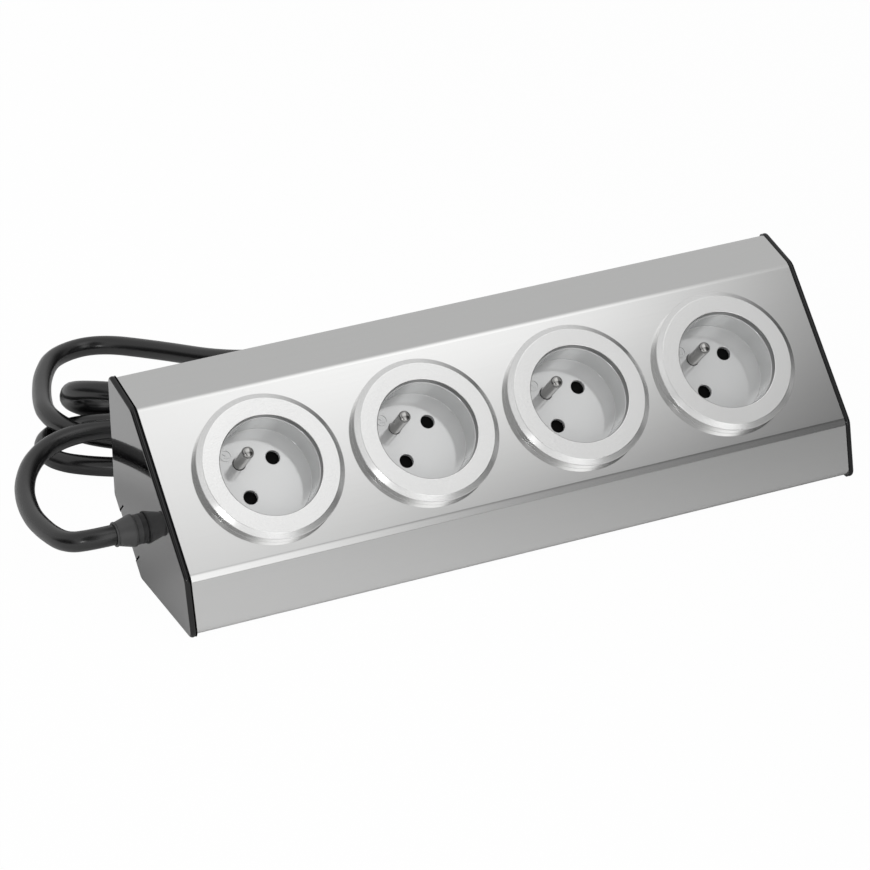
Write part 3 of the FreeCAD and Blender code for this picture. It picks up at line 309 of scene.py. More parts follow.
# Nodes
class Kind(Enum):
    """What a node group works on."""

    SHADER = "ShaderNodeTree"
    GEOMETRY = "GeometryNodeTree"


@dataclass(frozen=True)
class Change:
    """A soft change between two levels while a value crosses a span."""

    start: float
    end: float
    before: float
    after: float


class Nodes:
    """A node tree to which nodes are added, each with what its inputs get."""

    def __init__(self, tree: bpy.types.NodeTree) -> None:
        """Start on a tree, which is emptied."""
        self.tree = tree
        tree.nodes.clear()

    @classmethod
    def group(cls, name: str, kind: Kind, inputs: dict[str, tuple[str, object]],
              outputs: dict[str, str]) -> Nodes:
        """Start on a new node group.

        Args:
            name: The group's name.
            kind: What it works on.
            inputs: Kind and starting value of each input, by name.
            outputs: Kind of each output, by name.

        Returns:
            The group's nodes, of which there are none yet.
        """
        tree = bpy.data.node_groups.new(name, kind.value)
        for label, (sort, start) in inputs.items():
            socket = tree.interface.new_socket(name=label, in_out="INPUT",
                                               socket_type=f"NodeSocket{sort}")
            if start is not None:
                socket.default_value = start
        for label, sort in outputs.items():
            tree.interface.new_socket(name=label, in_out="OUTPUT",
                                      socket_type=f"NodeSocket{sort}")
        return cls(tree)

    def add(self, kind: str, inputs: dict[str | int, object] | None = None,
            **settings: object) -> bpy.types.Node:
        """Add a node.

        Args:
            kind: Its kind.
            inputs: A value, or an output to join, for some of its inputs.
            settings: Its own settings.

        Returns:
            The node.
        """
        node = self.tree.nodes.new(kind)
        for name, setting in settings.items():
            setattr(node, name, setting)
        for name, given in (inputs or {}).items():
            if isinstance(given, bpy.types.NodeSocket):
                self.tree.links.new(given, node.inputs[name])
            else:
                node.inputs[name].default_value = given
        return node

    def math(self, operation: str, first: object, second: object) -> bpy.types.NodeSocket:
        """The outcome of a math node on two sockets or numbers."""
        return self.add("ShaderNodeMath", {0: first, 1: second}, operation=operation).outputs[0]

    def product(self, *factors: object) -> bpy.types.NodeSocket:
        """The product of sockets and numbers."""
        return reduce(lambda so_far, factor: self.math("MULTIPLY", so_far, factor), factors)

    def rest(self, share: bpy.types.NodeSocket) -> bpy.types.NodeSocket:
        """What a share leaves of one."""
        return self.math("SUBTRACT", 1.0, share)

    def blend(self, share: object, first: object, second: object) -> bpy.types.NodeSocket:
        """A number that goes from the first to the second as the share goes to one."""
        return self.add("ShaderNodeMix", {"Factor": share, 2: first, 3: second},
                        data_type="FLOAT").outputs[0]

    def fade(self, share: object, first: object, second: object) -> bpy.types.NodeSocket:
        """A surface that goes from the first shader to the second as the share goes to one."""
        return self.add("ShaderNodeMixShader", {0: share, 1: first, 2: second}).outputs[0]

    def ramp(self, value: bpy.types.NodeSocket, change: Change) -> bpy.types.NodeSocket:
        """The level that a soft change has at a value."""
        return self.add("ShaderNodeMapRange", {
            "Value": value, "From Min": change.start, "From Max": change.end,
            "To Min": change.before, "To Max": change.after,
        }, interpolation_type="SMOOTHSTEP").outputs["Result"]

    def finished(self, shape: bpy.types.NodeSocket,
                 finish: bpy.types.NodeSocket) -> bpy.types.NodeTree:
        """End a geometry group in real geometry with its finish.

        Args:
            shape: The geometry, which may still be instances.
            finish: The material.

        Returns:
            The group.
        """
        real = self.add("GeometryNodeRealizeInstances", {"Geometry": shape})
        dressed = self.add("GeometryNodeSetMaterial", {
            "Geometry": real.outputs["Geometry"], "Material": finish})
        self.add("NodeGroupOutput", {"Geometry": dressed.outputs["Geometry"]})
        return self.tree


# Finishes
@cache
def grain_effect() -> bpy.types.NodeTree:
    """Fine moulded or blasted grain, with slow changes of gloss and of shade.

    Returns:
        The group, built once and shared by all materials.
    """
    nodes = Nodes.group("moulded_grain", Kind.SHADER, {
        "Vector": ("Vector", None),
        "Colour": ("Color", (0.5, 0.5, 0.5, 1.0)),
        "Grain": ("Float", 2000.0),
        "Roughness": ("Float", 0.4),
        "Swing": ("Float", 0.1),
        "Mottle": ("Float", 0.05),
    }, {"Colour": "Color", "Roughness": "Float", "Height": "Float"})
    given = nodes.add("NodeGroupInput").outputs
    fine = nodes.add("ShaderNodeTexNoise", {
        "Vector": given["Vector"], "Scale": given["Grain"], "Detail": 3.0,
        "Roughness": 0.6}).outputs["Fac"]
    slow = nodes.add("ShaderNodeTexNoise", {
        "Vector": given["Vector"], "Scale": 38.0, "Detail": 2.0}).outputs["Fac"]
    swing = nodes.product(nodes.math("SUBTRACT", slow, 0.5), given["Swing"])
    shade = nodes.product(nodes.math("SUBTRACT", fine, 0.5), given["Mottle"])
    shaded = nodes.add("ShaderNodeVectorMath", {
        0: given["Colour"], "Scale": nodes.math("ADD", shade, 1.0)}, operation="SCALE")
    nodes.add("NodeGroupOutput", {
        "Colour": shaded.outputs[0], "Height": fine,
        "Roughness": nodes.math("ADD", given["Roughness"], swing)})
    return nodes.tree


@dataclass(frozen=True)
class Finish:
    """A surface: its colour, its gloss and the grain that the light picks out on it."""

    name: str
    slot: str
    colour: Colour
    roughness: float
    metallic: float = 0.0
    grain: float = 2600.0
    stretch: tuple[float, float, float] = (1.0, 1.0, 1.0)
    swing: float = 0.08
    mottle: float = 0.05
    relief: float = 0.02
    bump: float = 0.25
    coat: float = 0.0
    coat_roughness: float = 0.05
    ior: float = 1.5
    specular: float = 0.5

    def material(self) -> bpy.types.Material:
        """Give the material of this finish.

        Returns:
            The material, built the first time it is asked for.
        """
        known = bpy.data.materials.get(self.name)
        if known is not None:
            return known
        material = bpy.data.materials.new(self.name)
        material.use_nodes = True
        nodes = Nodes(material.node_tree)
        place = nodes.add("ShaderNodeTexCoord").outputs["Object"]
        mapping = nodes.add("ShaderNodeMapping", {"Vector": place, "Scale": self.stretch})
        grain = nodes.add("ShaderNodeGroup", {
            "Vector": mapping.outputs["Vector"], "Colour": (*self.colour, 1.0),
            "Grain": self.grain, "Roughness": self.roughness, "Swing": self.swing,
            "Mottle": self.mottle}, node_tree=grain_effect()).outputs
        bump = nodes.add("ShaderNodeBump", {
            "Strength": self.bump, "Distance": self.relief * MM, "Height": grain["Height"]})
        surface = nodes.add("ShaderNodeBsdfPrincipled", {
            "Base Color": grain["Colour"], "Roughness": grain["Roughness"],
            "Metallic": self.metallic, "IOR": self.ior, "Specular IOR Level": self.specular,
            "Coat Weight": self.coat, "Coat Roughness": self.coat_roughness,
            "Coat IOR": self.ior, "Normal": bump.outputs["Normal"]})
        nodes.add("ShaderNodeOutputMaterial", {"Surface": surface.outputs[0]})
        return material


FACE_STEEL = Finish("brushed_steel", "face_steel", (0.72, 0.72, 0.715), 0.1, metallic=1.0,
                    grain=1500.0, stretch=(0.02, 1.0, 1.0), swing=0.03, mottle=0.04,
                    relief=0.003, bump=0.12)
TRAY_STEEL = Finish("zinc_sheet", "tray_steel", (0.5, 0.505, 0.51), 0.36, metallic=1.0,
                    grain=240.0, swing=0.12, mottle=0.16, relief=0.006, bump=0.2)
BEZEL_SATIN = Finish("satin_silver", "bezel_plastic", (0.96, 0.96, 0.955), 0.25, metallic=0.97,
                     grain=1900.0, swing=0.05, mottle=0.26, relief=0.012, bump=0.3)
# A darker copy of the satin for the ring's inner lip: painted shade where the lip overhangs the
# cup.
LIP_PAINTED_SHADE = replace(BEZEL_SATIN, name="dark_silver", colour=(0.3, 0.3, 0.3), roughness=0.3,
                    mottle=0.1, bump=0.2)
CUP_GLOSS = Finish("silver_moulding", "cup_plastic", (0.73, 0.735, 0.735), 0.12, metallic=0.38,
                   grain=900.0, swing=0.03, mottle=0.02, relief=0.003, bump=0.06)
CAP_GLOSS = Finish("black_gloss", "cap_gloss", (0.006, 0.006, 0.0065), 0.04, grain=500.0,
                   swing=0.02, mottle=0.06, relief=0.002, bump=0.05, ior=1.9, coat=1.0,
                   coat_roughness=0.03)
RIM_GLOSS = replace(CAP_GLOSS, name="rim_black", roughness=0.07, ior=1.5, coat=0.0)
NICKEL = Finish("bright_nickel", "nickel", (0.62, 0.61, 0.59), 0.1, metallic=1.0, grain=900.0,
                swing=0.05, relief=0.003, bump=0.12)
# A darker copy of the nickel for the earth pins: painted shade for the dim recess that they
# stand in.
PIN_NICKEL_PAINTED_SHADE = replace(NICKEL, name="dark_nickel", colour=(0.45, 0.445, 0.435), roughness=0.05,
                     swing=0.04, mottle=0.06, bump=0.1)
ZINC = Finish("zinc_plate", "zinc_steel", (0.6, 0.6, 0.58), 0.32, metallic=1.0, grain=1400.0,
              swing=0.1, mottle=0.12, relief=0.005)
BRASS = Finish("spring_brass", "contact_brass", (0.72, 0.54, 0.24), 0.26, metallic=1.0,
               grain=1200.0, swing=0.1, mottle=0.08, relief=0.004)
SHUTTER_DARK = Finish("shutter_black", "shutter_plastic", (0.004, 0.004, 0.004), 0.7,
                      grain=2400.0, specular=0.08)
# Black for the blocks in the caps' slits: painted shade where the real slits open into the dark
# inside.
SLIT_PAINTED_SHADE = replace(SHUTTER_DARK, name="slit_black", slot="cap_gloss", roughness=0.8,
                     specular=0.05)
INSULATOR = Finish("insulator_grey", "insulator_plastic", (0.3, 0.3, 0.29), 0.5, grain=2400.0)
LIVE_BROWN = Finish("live_brown", "live_insulation", (0.13, 0.055, 0.02), 0.42, grain=3000.0)
NEUTRAL_BLUE = replace(LIVE_BROWN, name="neutral_blue", slot="neutral_insulation",
                       colour=(0.03, 0.12, 0.42))
EARTH_GREEN = replace(LIVE_BROWN, name="earth_green", slot="earth_insulation",
                      colour=(0.17, 0.36, 0.04), mottle=0.1)
GLAND_SATIN = Finish("gland_black", "gland_plastic", (0.075, 0.075, 0.0755), 0.36, relief=0.01)
PLUG_SATIN = Finish("plug_black", "plug_plastic", (0.028, 0.028, 0.029), 0.42, grain=3400.0,
                    bump=0.4)
SHEATH = Finish("sheath_black", "cable_sheath", (0.005, 0.005, 0.0052), 0.25, grain=1800.0,
                swing=0.06, mottle=0.14, relief=0.012, bump=0.3, specular=0.8)


def settled(obj: bpy.types.Object, finish: Finish, *nodes: str) -> bpy.types.Object:
    """Give a piece its finish, hang it on the housing and hide the CAD nodes that it stands for.

    Args:
        obj: The piece, in its place.
        finish: Its finish.
        nodes: The CAD nodes that it stands for.

    Returns:
        The same piece.
    """
    obj.data.materials.clear()
    obj.data.materials.append(finish.material())
    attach(obj, HOUSING)
    if nodes:
        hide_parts(*nodes)
    LOG.info("%s stands for %s", obj.name, ", ".join(nodes) or "nothing")
    return obj


def repainted(obj: bpy.types.Object, finish: Finish, chosen: Callable[[Vector], bool]) -> None:
    """Give some faces of a settled piece a second finish.

    Args:
        obj: The piece.
        finish: The second finish.
        chosen: Says of the centre of a face, in metres, whether it gets the finish.
    """
    obj.data.materials.append(finish.material())
    for face in obj.data.polygons:
        if chosen(face.center):
            face.material_index = 1


# Geometry Nodes
@cache
def repeat_tree() -> bpy.types.NodeTree:
    """A tree that sets one part on every point of a mesh, turned as the point says.

    Returns:
        The tree, built once.
    """
    nodes = Nodes.group("repeat_on_points", Kind.GEOMETRY, {
        "Geometry": ("Geometry", None),
        "Part": ("Object", None),
        "Size": ("Float", 1.0),
        "Finish": ("Material", None),
    }, {"Geometry": "Geometry"})
    given = nodes.add("NodeGroupInput").outputs
    part = nodes.add("GeometryNodeObjectInfo", {"Object": given["Part"]})
    turn = nodes.add("GeometryNodeInputNamedAttribute", {"Name": "turn"},
                     data_type="FLOAT_VECTOR")
    row = nodes.add("GeometryNodeInstanceOnPoints", {
        "Points": given["Geometry"], "Instance": part.outputs["Geometry"],
        "Rotation": turn.outputs["Attribute"], "Scale": given["Size"]})
    return nodes.finished(row.outputs["Instances"], given["Finish"])


def ring_tree() -> bpy.types.NodeTree:
    """A tree that makes a row of rings whose radius changes steadily along the row.

    Returns:
        The tree.
    """
    nodes = Nodes.group("row_of_rings", Kind.GEOMETRY, {
        "Geometry": ("Geometry", None),
        "Count": ("Int", 6),
        "Pitch": ("Float", 0.003),
        "First Radius": ("Float", 0.005),
        "Last Radius": ("Float", 0.006),
        "Thickness": ("Float", 0.0006),
        "Finish": ("Material", None),
    }, {"Geometry": "Geometry"})
    given = nodes.add("NodeGroupInput").outputs
    circle = nodes.add("GeometryNodeCurvePrimitiveCircle", {"Resolution": 64, "Radius": 1.0})
    pitch = nodes.add("ShaderNodeCombineXYZ", {"Z": given["Pitch"]})
    row = nodes.add("GeometryNodeMeshLine", {
        "Count": given["Count"], "Offset": pitch.outputs[0]})
    share = nodes.math("DIVIDE", nodes.add("GeometryNodeInputIndex").outputs[0],
                       nodes.math("SUBTRACT", given["Count"], 1.0))
    growth = nodes.product(share, nodes.math("SUBTRACT", given["Last Radius"],
                                             given["First Radius"]))
    rings = nodes.add("GeometryNodeInstanceOnPoints", {
        "Points": row.outputs["Mesh"], "Instance": circle.outputs["Curve"],
        "Scale": nodes.math("ADD", given["First Radius"], growth)})
    real = nodes.add("GeometryNodeRealizeInstances", {"Geometry": rings.outputs["Instances"]})
    section = nodes.add("GeometryNodeCurvePrimitiveCircle", {
        "Resolution": 10, "Radius": given["Thickness"]})
    solid = nodes.add("GeometryNodeCurveToMesh", {
        "Curve": real.outputs["Geometry"], "Profile Curve": section.outputs["Curve"]})
    smooth = nodes.add("GeometryNodeSetShadeSmooth", {"Geometry": solid.outputs["Mesh"]})
    return nodes.finished(smooth.outputs["Geometry"], given["Finish"])


def grown(name: str, tree: bpy.types.NodeTree, inputs: dict[str, object], place: Matrix,
          points: Sequence[tuple[Corner, Corner]] = ()) -> bpy.types.Object:
    """Run a geometry tree and keep its result as a plain mesh.

    Args:
        name: The new object's name.
        tree: The tree.
        inputs: What its named inputs get.
        place: Where the result goes, in metres.
        points: Place and turn of each point that the tree works on.

    Returns:
        An object at the origin whose place is in its mesh.
    """
    seeds = bpy.data.meshes.new(f"{name}_points")
    seeds.from_pydata([spot for spot, _ in points], [], [])
    turns = seeds.attributes.new("turn", "FLOAT_VECTOR", "POINT")
    for k, (_, turn) in enumerate(points):
        turns.data[k].vector = turn
    host = link(bpy.data.objects.new(f"{name}_host", seeds))
    modifier = host.modifiers.new(name, "NODES")
    modifier.node_group = tree
    for item in tree.interface.items_tree:
        if item.item_type == "SOCKET" and item.in_out == "INPUT" and item.name in inputs:
            modifier[item.identifier] = inputs[item.name]
    mesh = baked(host).data
    bpy.data.objects.remove(host)
    mesh.transform(place)
    mesh.name = name
    return link(bpy.data.objects.new(name, mesh))


# Housing
class Hand(Enum):
    """The two ends of the strip, and the way that each looks along it."""

    LEFT = -1.0
    RIGHT = 1.0

    @property
    def side(self) -> str:
        """The end's name in the names of pieces and nodes."""
        return self.name.lower()


@dataclass
class Housing:
    """Bent steel cover, folded tray and the screws that hold them together."""

    length: float = 280.0
    face_width: float = 69.3
    flange_bend: float = 34.0
    reach: float = 47.1
    return_length: float = 13.0
    opening: float = 22.45
    sheet: float = 1.0
    bend: float = 3.0
    face_bend: float = 6.0
    cover_edge: float = 0.18
    tray_edge: float = 0.12
    sockets: tuple[float, ...] = (-97.5, -32.5, 32.5, 97.5)
    screw_span: float = 220.0
    screw_head: float = 2.7
    screw_land: float = 0.15
    screw_cone: float = 1.2
    screw_shank: float = 1.5
    screw_length: float = 8.2
    # Reach, half width and depth of the cross
    screw_recess: Corner = (1.6, 0.35, 0.9)
    # Millimetres along the strip for each degree that a cross is turned
    screw_twist: float = 3.0
    # Y and Z of the two rows of screws, each with the turn of its screws
    screw_spots: tuple[tuple[Spot, float], ...] = (((-30.04, 0.0), 0.0), ((38.39, 68.44), 90.0))

    def half_section(self) -> list[Spot]:
        """Half of the cover's section.

        Returns:
            Its corners, from the face's upper bend to the end of the return.
        """
        half = self.face_width / 2
        angle = math.radians(self.flange_bend)
        run = (self.reach * math.sqrt(2) - half) / (math.cos(angle) + math.sin(angle))
        bend = (half + run * math.cos(angle), -run * math.sin(angle))
        fall = self.return_length / math.sqrt(2)
        return [(half, 0.0), bend, (bend[0] - fall, bend[1] - fall)]

    def inner(self, outer: Sequence[Corner]) -> list[Corner]:
        """The inside of the bent sheet.

        Args:
            outer: The corners of its outside, each with its rounding.

        Returns:
            The corners of the inside, each with the rounding of the inner bend.
        """
        moved = []
        for k, here in enumerate(outer):
            normals = []
            for first, second in ((k - 1, k), (k, k + 1)):
                if first >= 0 and second < len(outer):
                    run = Vector(outer[second][:2]) - Vector(outer[first][:2])
                    run.normalize()
                    normals.append(Vector((run.y, -run.x)))
            across = sum(normals, Vector((0.0, 0.0)))
            move = across * (self.sheet * len(normals) / across.length_squared)
            rounding = max(here[2] - self.sheet, 0.0)
            moved.append((here[0] + move.x, here[1] + move.y, rounding))
        return moved

    def cover(self) -> None:
        """The cover: face, flanges and returns, with its bends and socket openings."""
        half = self.half_section()
        spine = [(-across, up) for across, up in reversed(half)] + half
        roundings = [0.0, self.bend, self.face_bend, self.face_bend, self.bend, 0.0]
        outer = [(*corner, rounding) for corner, rounding in zip(spine, roundings)]
        outline = fillet(outer, closed=False, steps=14)
        outline += reversed(fillet(self.inner(outer), closed=False, steps=14))
        cover = drawn("steel_cover", outline, -self.length / 2, self.length / 2, FACE)
        carved(cover, [post(f"opening_{k}", self.opening, -self.sheet - PAST, PAST,
                            FACE @ shift(x, 0, 0)) for k, x in enumerate(self.sockets)])
        softened(cover, self.cover_edge, segments=2)
        settled(cover, FACE_STEEL, "cover")

    def tray(self) -> None:
        """The folded tray, with smooth bends and broken sheet edges."""
        settled(refined("base_tray", "steel_tray", self.tray_edge), TRAY_STEEL, "base_tray")

    def screws(self) -> None:
        """The countersunk screws with their cross recesses, from one screw."""
        outline = [(self.screw_head, 0.0), (self.screw_head, self.screw_land),
                   (self.screw_shank, self.screw_cone), (self.screw_shank, self.screw_length)]
        screw = lathe("screw", outline, Matrix(), closed=False, steps=48)
        reach, half, deep = self.screw_recess
        carved(screw, [bar("recess_0", (-reach, -half, -PAST), (reach, half, deep), Matrix()),
                       bar("recess_1", (-half, -reach, -PAST), (half, reach, deep), Matrix())])
        softened(screw, 0.0, angle=40)
        points = []
        for along in (-self.screw_span / 2, 0.0, self.screw_span / 2):
            for (across, up), turn in self.screw_spots:
                spot = (along * MM, across * MM, up * MM)
                twist = along / self.screw_twist
                points.append((spot, (math.radians(turn), 0.0, math.radians(twist))))
        row = grown("housing_screws", repeat_tree(), {"Part": screw, "Finish": ZINC.material()},
                    Matrix(), points)
        bpy.data.objects.remove(screw)
        settled(row, ZINC, "cover_screws")

    def build(self) -> None:
        """Build the housing's pieces."""
        self.cover()
        self.tray()
        self.screws()


@dataclass
class EndCaps:
    """Glossy moulded caps that close both ends of the housing."""

    face_corner: Spot = (34.65, 0.0)
    side_corner: Spot = (54.748, -13.557)
    back_corner: Spot = (17.75, -50.56)
    corner: float = 3.0
    face_rounding: float = 6.0
    outside: float = 142.5
    inside: float = 140.0
    skirt_end: float = 131.0
    skirt_weld: float = 0.1
    skirt_low: Spot = (-60.0, -60.0)
    skirt_high: Spot = (60.0, 10.0)
    rim: float = 1.16
    rim_margin: float = 0.05
    tongue: float = 10.5
    tongue_level: float = -48.76
    slit: float = 0.4
    slit_top: float = -43.56
    slit_depth: float = 1.5
    # How far under the plate's outside the painted slit shade stands, and how far its foot is
    # raised
    slit_show: float = 0.25
    liner_lift: float = 0.3

    def outline(self) -> list[Spot]:
        """The cap seen from its end.

        Returns:
            The points of its outline, in the frame of the face.
        """
        half = [(*self.face_corner, self.face_rounding), (*self.side_corner, self.corner),
                (*self.back_corner, self.corner)]
        mirrored = [(-across, up, rounding) for across, up, rounding in reversed(half)]
        return fillet(half + mirrored, steps=10)

    def block(self, name: str, hand: Hand, ends: Spot, low: Spot, high: Spot
              ) -> bpy.types.Object:
        """A block at one end of the strip, that far from its middle, between two corners."""
        near, far = sorted(hand.value * end for end in ends)
        return bar(name, (near, *low), (far, *high), FACE)

    def slits(self, hand: Hand, front: float, low: float) -> list[bpy.types.Object]:
        """Two bars that fill the slits beside the tongue.

        Args:
            hand: The end of the strip.
            front: How far out they reach.
            low: Their lower end.

        Returns:
            The bars.
        """
        return [self.block("slit", hand, (front, self.outside - self.slit_depth),
                           (side - self.slit, low), (side + self.slit, self.slit_top))
                for side in (-self.tongue, self.tongue)]

    def plate(self, hand: Hand) -> bpy.types.Object:
        """The plate of one end, with its round rim, the tongue's step and the two slits.

        Args:
            hand: The end of the strip.

        Returns:
            The plate.
        """
        near, far = sorted((hand.value * self.outside, hand.value * self.inside))
        plate = drawn(f"gloss_cap_{hand.side}", self.outline(), near, far, FACE)
        softened(plate, self.rim, segments=8, angle=50)
        low = self.back_corner[1] - PAST
        step = self.block("step", hand, (self.inside - PAST, self.outside + PAST),
                          (-self.tongue, low), (self.tongue, self.tongue_level))
        return carved(plate, [step, *self.slits(hand, self.outside + PAST, low)])

    def liner(self, hand: Hand) -> None:
        """A dark block at the bottom of both slits of one cap: painted shade where the real cap
        is open into its dark inside.

        Args:
            hand: The end of the strip.
        """
        first, second = self.slits(hand, self.outside - self.slit_show,
                                   self.back_corner[1] + self.liner_lift)
        first.name = f"slit_liner_{hand.side}"
        settled(carved(first, [second], Boolean.ADD), SLIT_PAINTED_SHADE)

    def on_rim(self, centre: Vector) -> bool:
        """Whether the centre of a face, in metres, is on the rim of a plate."""
        margin = self.rim_margin
        return self.inside + margin < abs(centre.x) / MM < self.outside - margin

    def build(self) -> None:
        """Build both caps, each with its skirt and the painted shade in its slits."""
        for hand in Hand:
            node = f"end_cap_{hand.side}"
            cap = self.plate(hand)
            skirt = refined(node, "skirt", 0.0)
            kept = self.block("keep", hand, (self.inside + self.skirt_weld, self.skirt_end),
                              self.skirt_low, self.skirt_high)
            carved(cap, [carved(skirt, [kept], Boolean.KEEP)], Boolean.ADD)
            softened(cap, 0.0, angle=40)
            repainted(settled(cap, CAP_GLOSS, node), RIM_GLOSS, self.on_rim)
            self.liner(hand)


@dataclass
class Socket:
    """One socket outlet: raised ring, recessed cup and earth pin."""

    number: int
    along: float
    turn: float = 45.0
    ring_outer: float = 29.1
    ring_flat: float = 26.9
    ring_inner: float = 20.0
    ring_height: float = 5.0
    ring_bevel: float = 1.3
    lip_depth: float = 2.9
    lip_margin: float = 0.15
    wall: float = 1.5
    cup_radius: float = 19.65
    cup_wall: float = 1.6
    cup_flange: float = 26.6
    cup_foot: float = 1.0
    cup_edge: float = 0.3
    depth: float = 14.6
    floor: float = 2.0
    floor_margin: float = 2.0
    contact_pitch: float = 19.0
    contact_hole: float = 2.8
    hole_play: float = 0.1
    pin_offset: float = 10.0
    pin_radius: float = 2.4
    pin_drop: float = 0.1
    pin_dome: float = 1.3
    # Radius of the flat on the tip, and how far it stands over the corner of the dome
    pin_tip: Spot = (0.4, 0.25)
    pin_collar: float = 3.4
    collar_height: float = 1.0
    deck_under: float = -16.1
    terminal_under: float = -29.2
    terminal_size: Corner = (8.0, 4.6, 3.8)
    terminal_weld: float = 0.5
    wire_pair: float = 3.8
    wire_radius: float = 1.25
    wire_depth: float = 2.6

    @property
    def place(self) -> Matrix:
        """The frame of the socket, in metres."""
        turn = Matrix.Rotation(math.radians(self.turn), 4, "Z")
        return FACE @ shift(self.along, 0, 0) @ turn

    @property
    def floor_level(self) -> float:
        """Height of the recess floor over the face."""
        return self.ring_height - self.depth

    def on_lip(self, centre: Vector) -> bool:
        """Whether the centre of a face, in metres, is on the inner lip of the ring, where shade
        is painted.
        """
        reach = (self.place.inverted() @ centre).xy.length
        return reach < (self.ring_inner + self.lip_margin) * MM

    def bezel(self) -> None:
        """The raised ring with its bevelled rim and rolled inner lip."""
        top = self.ring_height
        shoulder = top - self.ring_bevel
        outline = fillet([
            (self.ring_outer, 0.0, 0.15),
            (self.ring_outer, shoulder, 0.45),
            (self.ring_flat, top, 0.5),
            (self.ring_inner, top, 0.4),
            (self.ring_inner, top - self.lip_depth, 0.12),
            (self.ring_inner + self.wall, top - self.lip_depth, 0.0),
            (self.ring_inner + self.wall, top - self.wall, 0.0),
            (self.ring_flat, top - self.wall, 0.0),
            (self.ring_outer - self.wall, shoulder - self.wall / 2, 0.0),
            (self.ring_outer - self.wall, 0.0, 0.0),
        ], steps=8)
        ring = lathe(f"satin_bezel_{self.number}", outline, self.place, steps=192)
        softened(ring, 0.0, angle=50)
        # The inner lip takes the darker satin, which is painted shade.
        repainted(settled(ring, BEZEL_SATIN, f"bezel_{self.number}"), LIP_PAINTED_SHADE, self.on_lip)

    def cup(self) -> None:
        """The recess with rounded floor, contact holes and the pin's hole."""
        under = self.floor_level - self.floor
        flange = self.ring_height - self.lip_depth
        outer = self.cup_radius + self.cup_wall
        outline = fillet([
            (outer - self.cup_foot, under, 0.0),
            (outer, under, 0.5),
            (outer, 0.0, 0.0),
            (self.cup_flange, 0.0, 0.2),
            (self.cup_flange, flange, 0.2),
            (self.cup_radius, flange, 0.5),
            (self.cup_radius, self.floor_level, 0.25),
            (self.cup_radius - self.floor_margin, self.floor_level, 0.0),
        ], closed=False, steps=8)
        cup = lathe(f"gloss_cup_{self.number}", outline, self.place, closed=False, steps=160)
        half = self.contact_pitch / 2
        cuts = [(half, 0.0, self.contact_hole), (-half, 0.0, self.contact_hole),
                (0.0, self.pin_offset, self.pin_radius + self.hole_play)]
        carved(cup, [post(f"cut_{k}", radius, under - PAST, self.floor_level + PAST,
                          self.place @ shift(x, y, 0)) for k, (x, y, radius) in enumerate(cuts)])
        softened(cup, self.cup_edge, segments=3, angle=60)
        settled(cup, CUP_GLOSS, f"socket_cup_{self.number}")

    def terminal(self, place: Matrix) -> bpy.types.Object:
        """The block at the foot of the earth pin, with its holes for two wires.

        Args:
            place: The frame of the pin.

        Returns:
            The block.
        """
        wide, deep, high = self.terminal_size
        block = bar("foot", (-wide / 2, -deep / 2, self.terminal_under),
                    (wide / 2, deep / 2, self.terminal_under + high), place)
        return carved(block, [
            post(f"wire_hole_{side}", self.wire_radius + self.hole_play,
                 self.terminal_under - PAST, self.terminal_under + self.wire_depth,
                 place @ shift(side * self.wire_pair / 2, 0, 0)) for side in (-1, 1)])

    def pin(self) -> None:
        """The earth pin with its domed tip, its collar and the terminal at its foot."""
        tip = self.ring_height - self.pin_drop
        flat, dome_drop = self.pin_tip
        foot = self.terminal_under + self.terminal_size[2] - self.terminal_weld
        collar_under = self.deck_under - self.collar_height
        outline = fillet([
            (self.pin_radius, foot, 0.0),
            (self.pin_radius, collar_under, 0.0),
            (self.pin_collar, collar_under, 0.15),
            (self.pin_collar, self.deck_under, 0.15),
            (self.pin_radius, self.deck_under, 0.0),
            (self.pin_radius, tip - dome_drop, self.pin_dome),
            (flat, tip, 0.0),
        ], closed=False, steps=12)
        place = self.place @ shift(0, self.pin_offset, 0)
        pin = lathe(f"nickel_pin_{self.number}", outline, place, closed=False, steps=64)
        carved(pin, [self.terminal(place)], Boolean.ADD)
        softened(pin, 0.0, angle=50)
        # The pin takes the darker nickel, which is painted shade.
        settled(pin, PIN_NICKEL_PAINTED_SHADE, f"earth_pin_{self.number}")

    def build(self) -> None:
        """Build the pieces of this socket."""
        self.bezel()
        self.cup()
        self.pin()


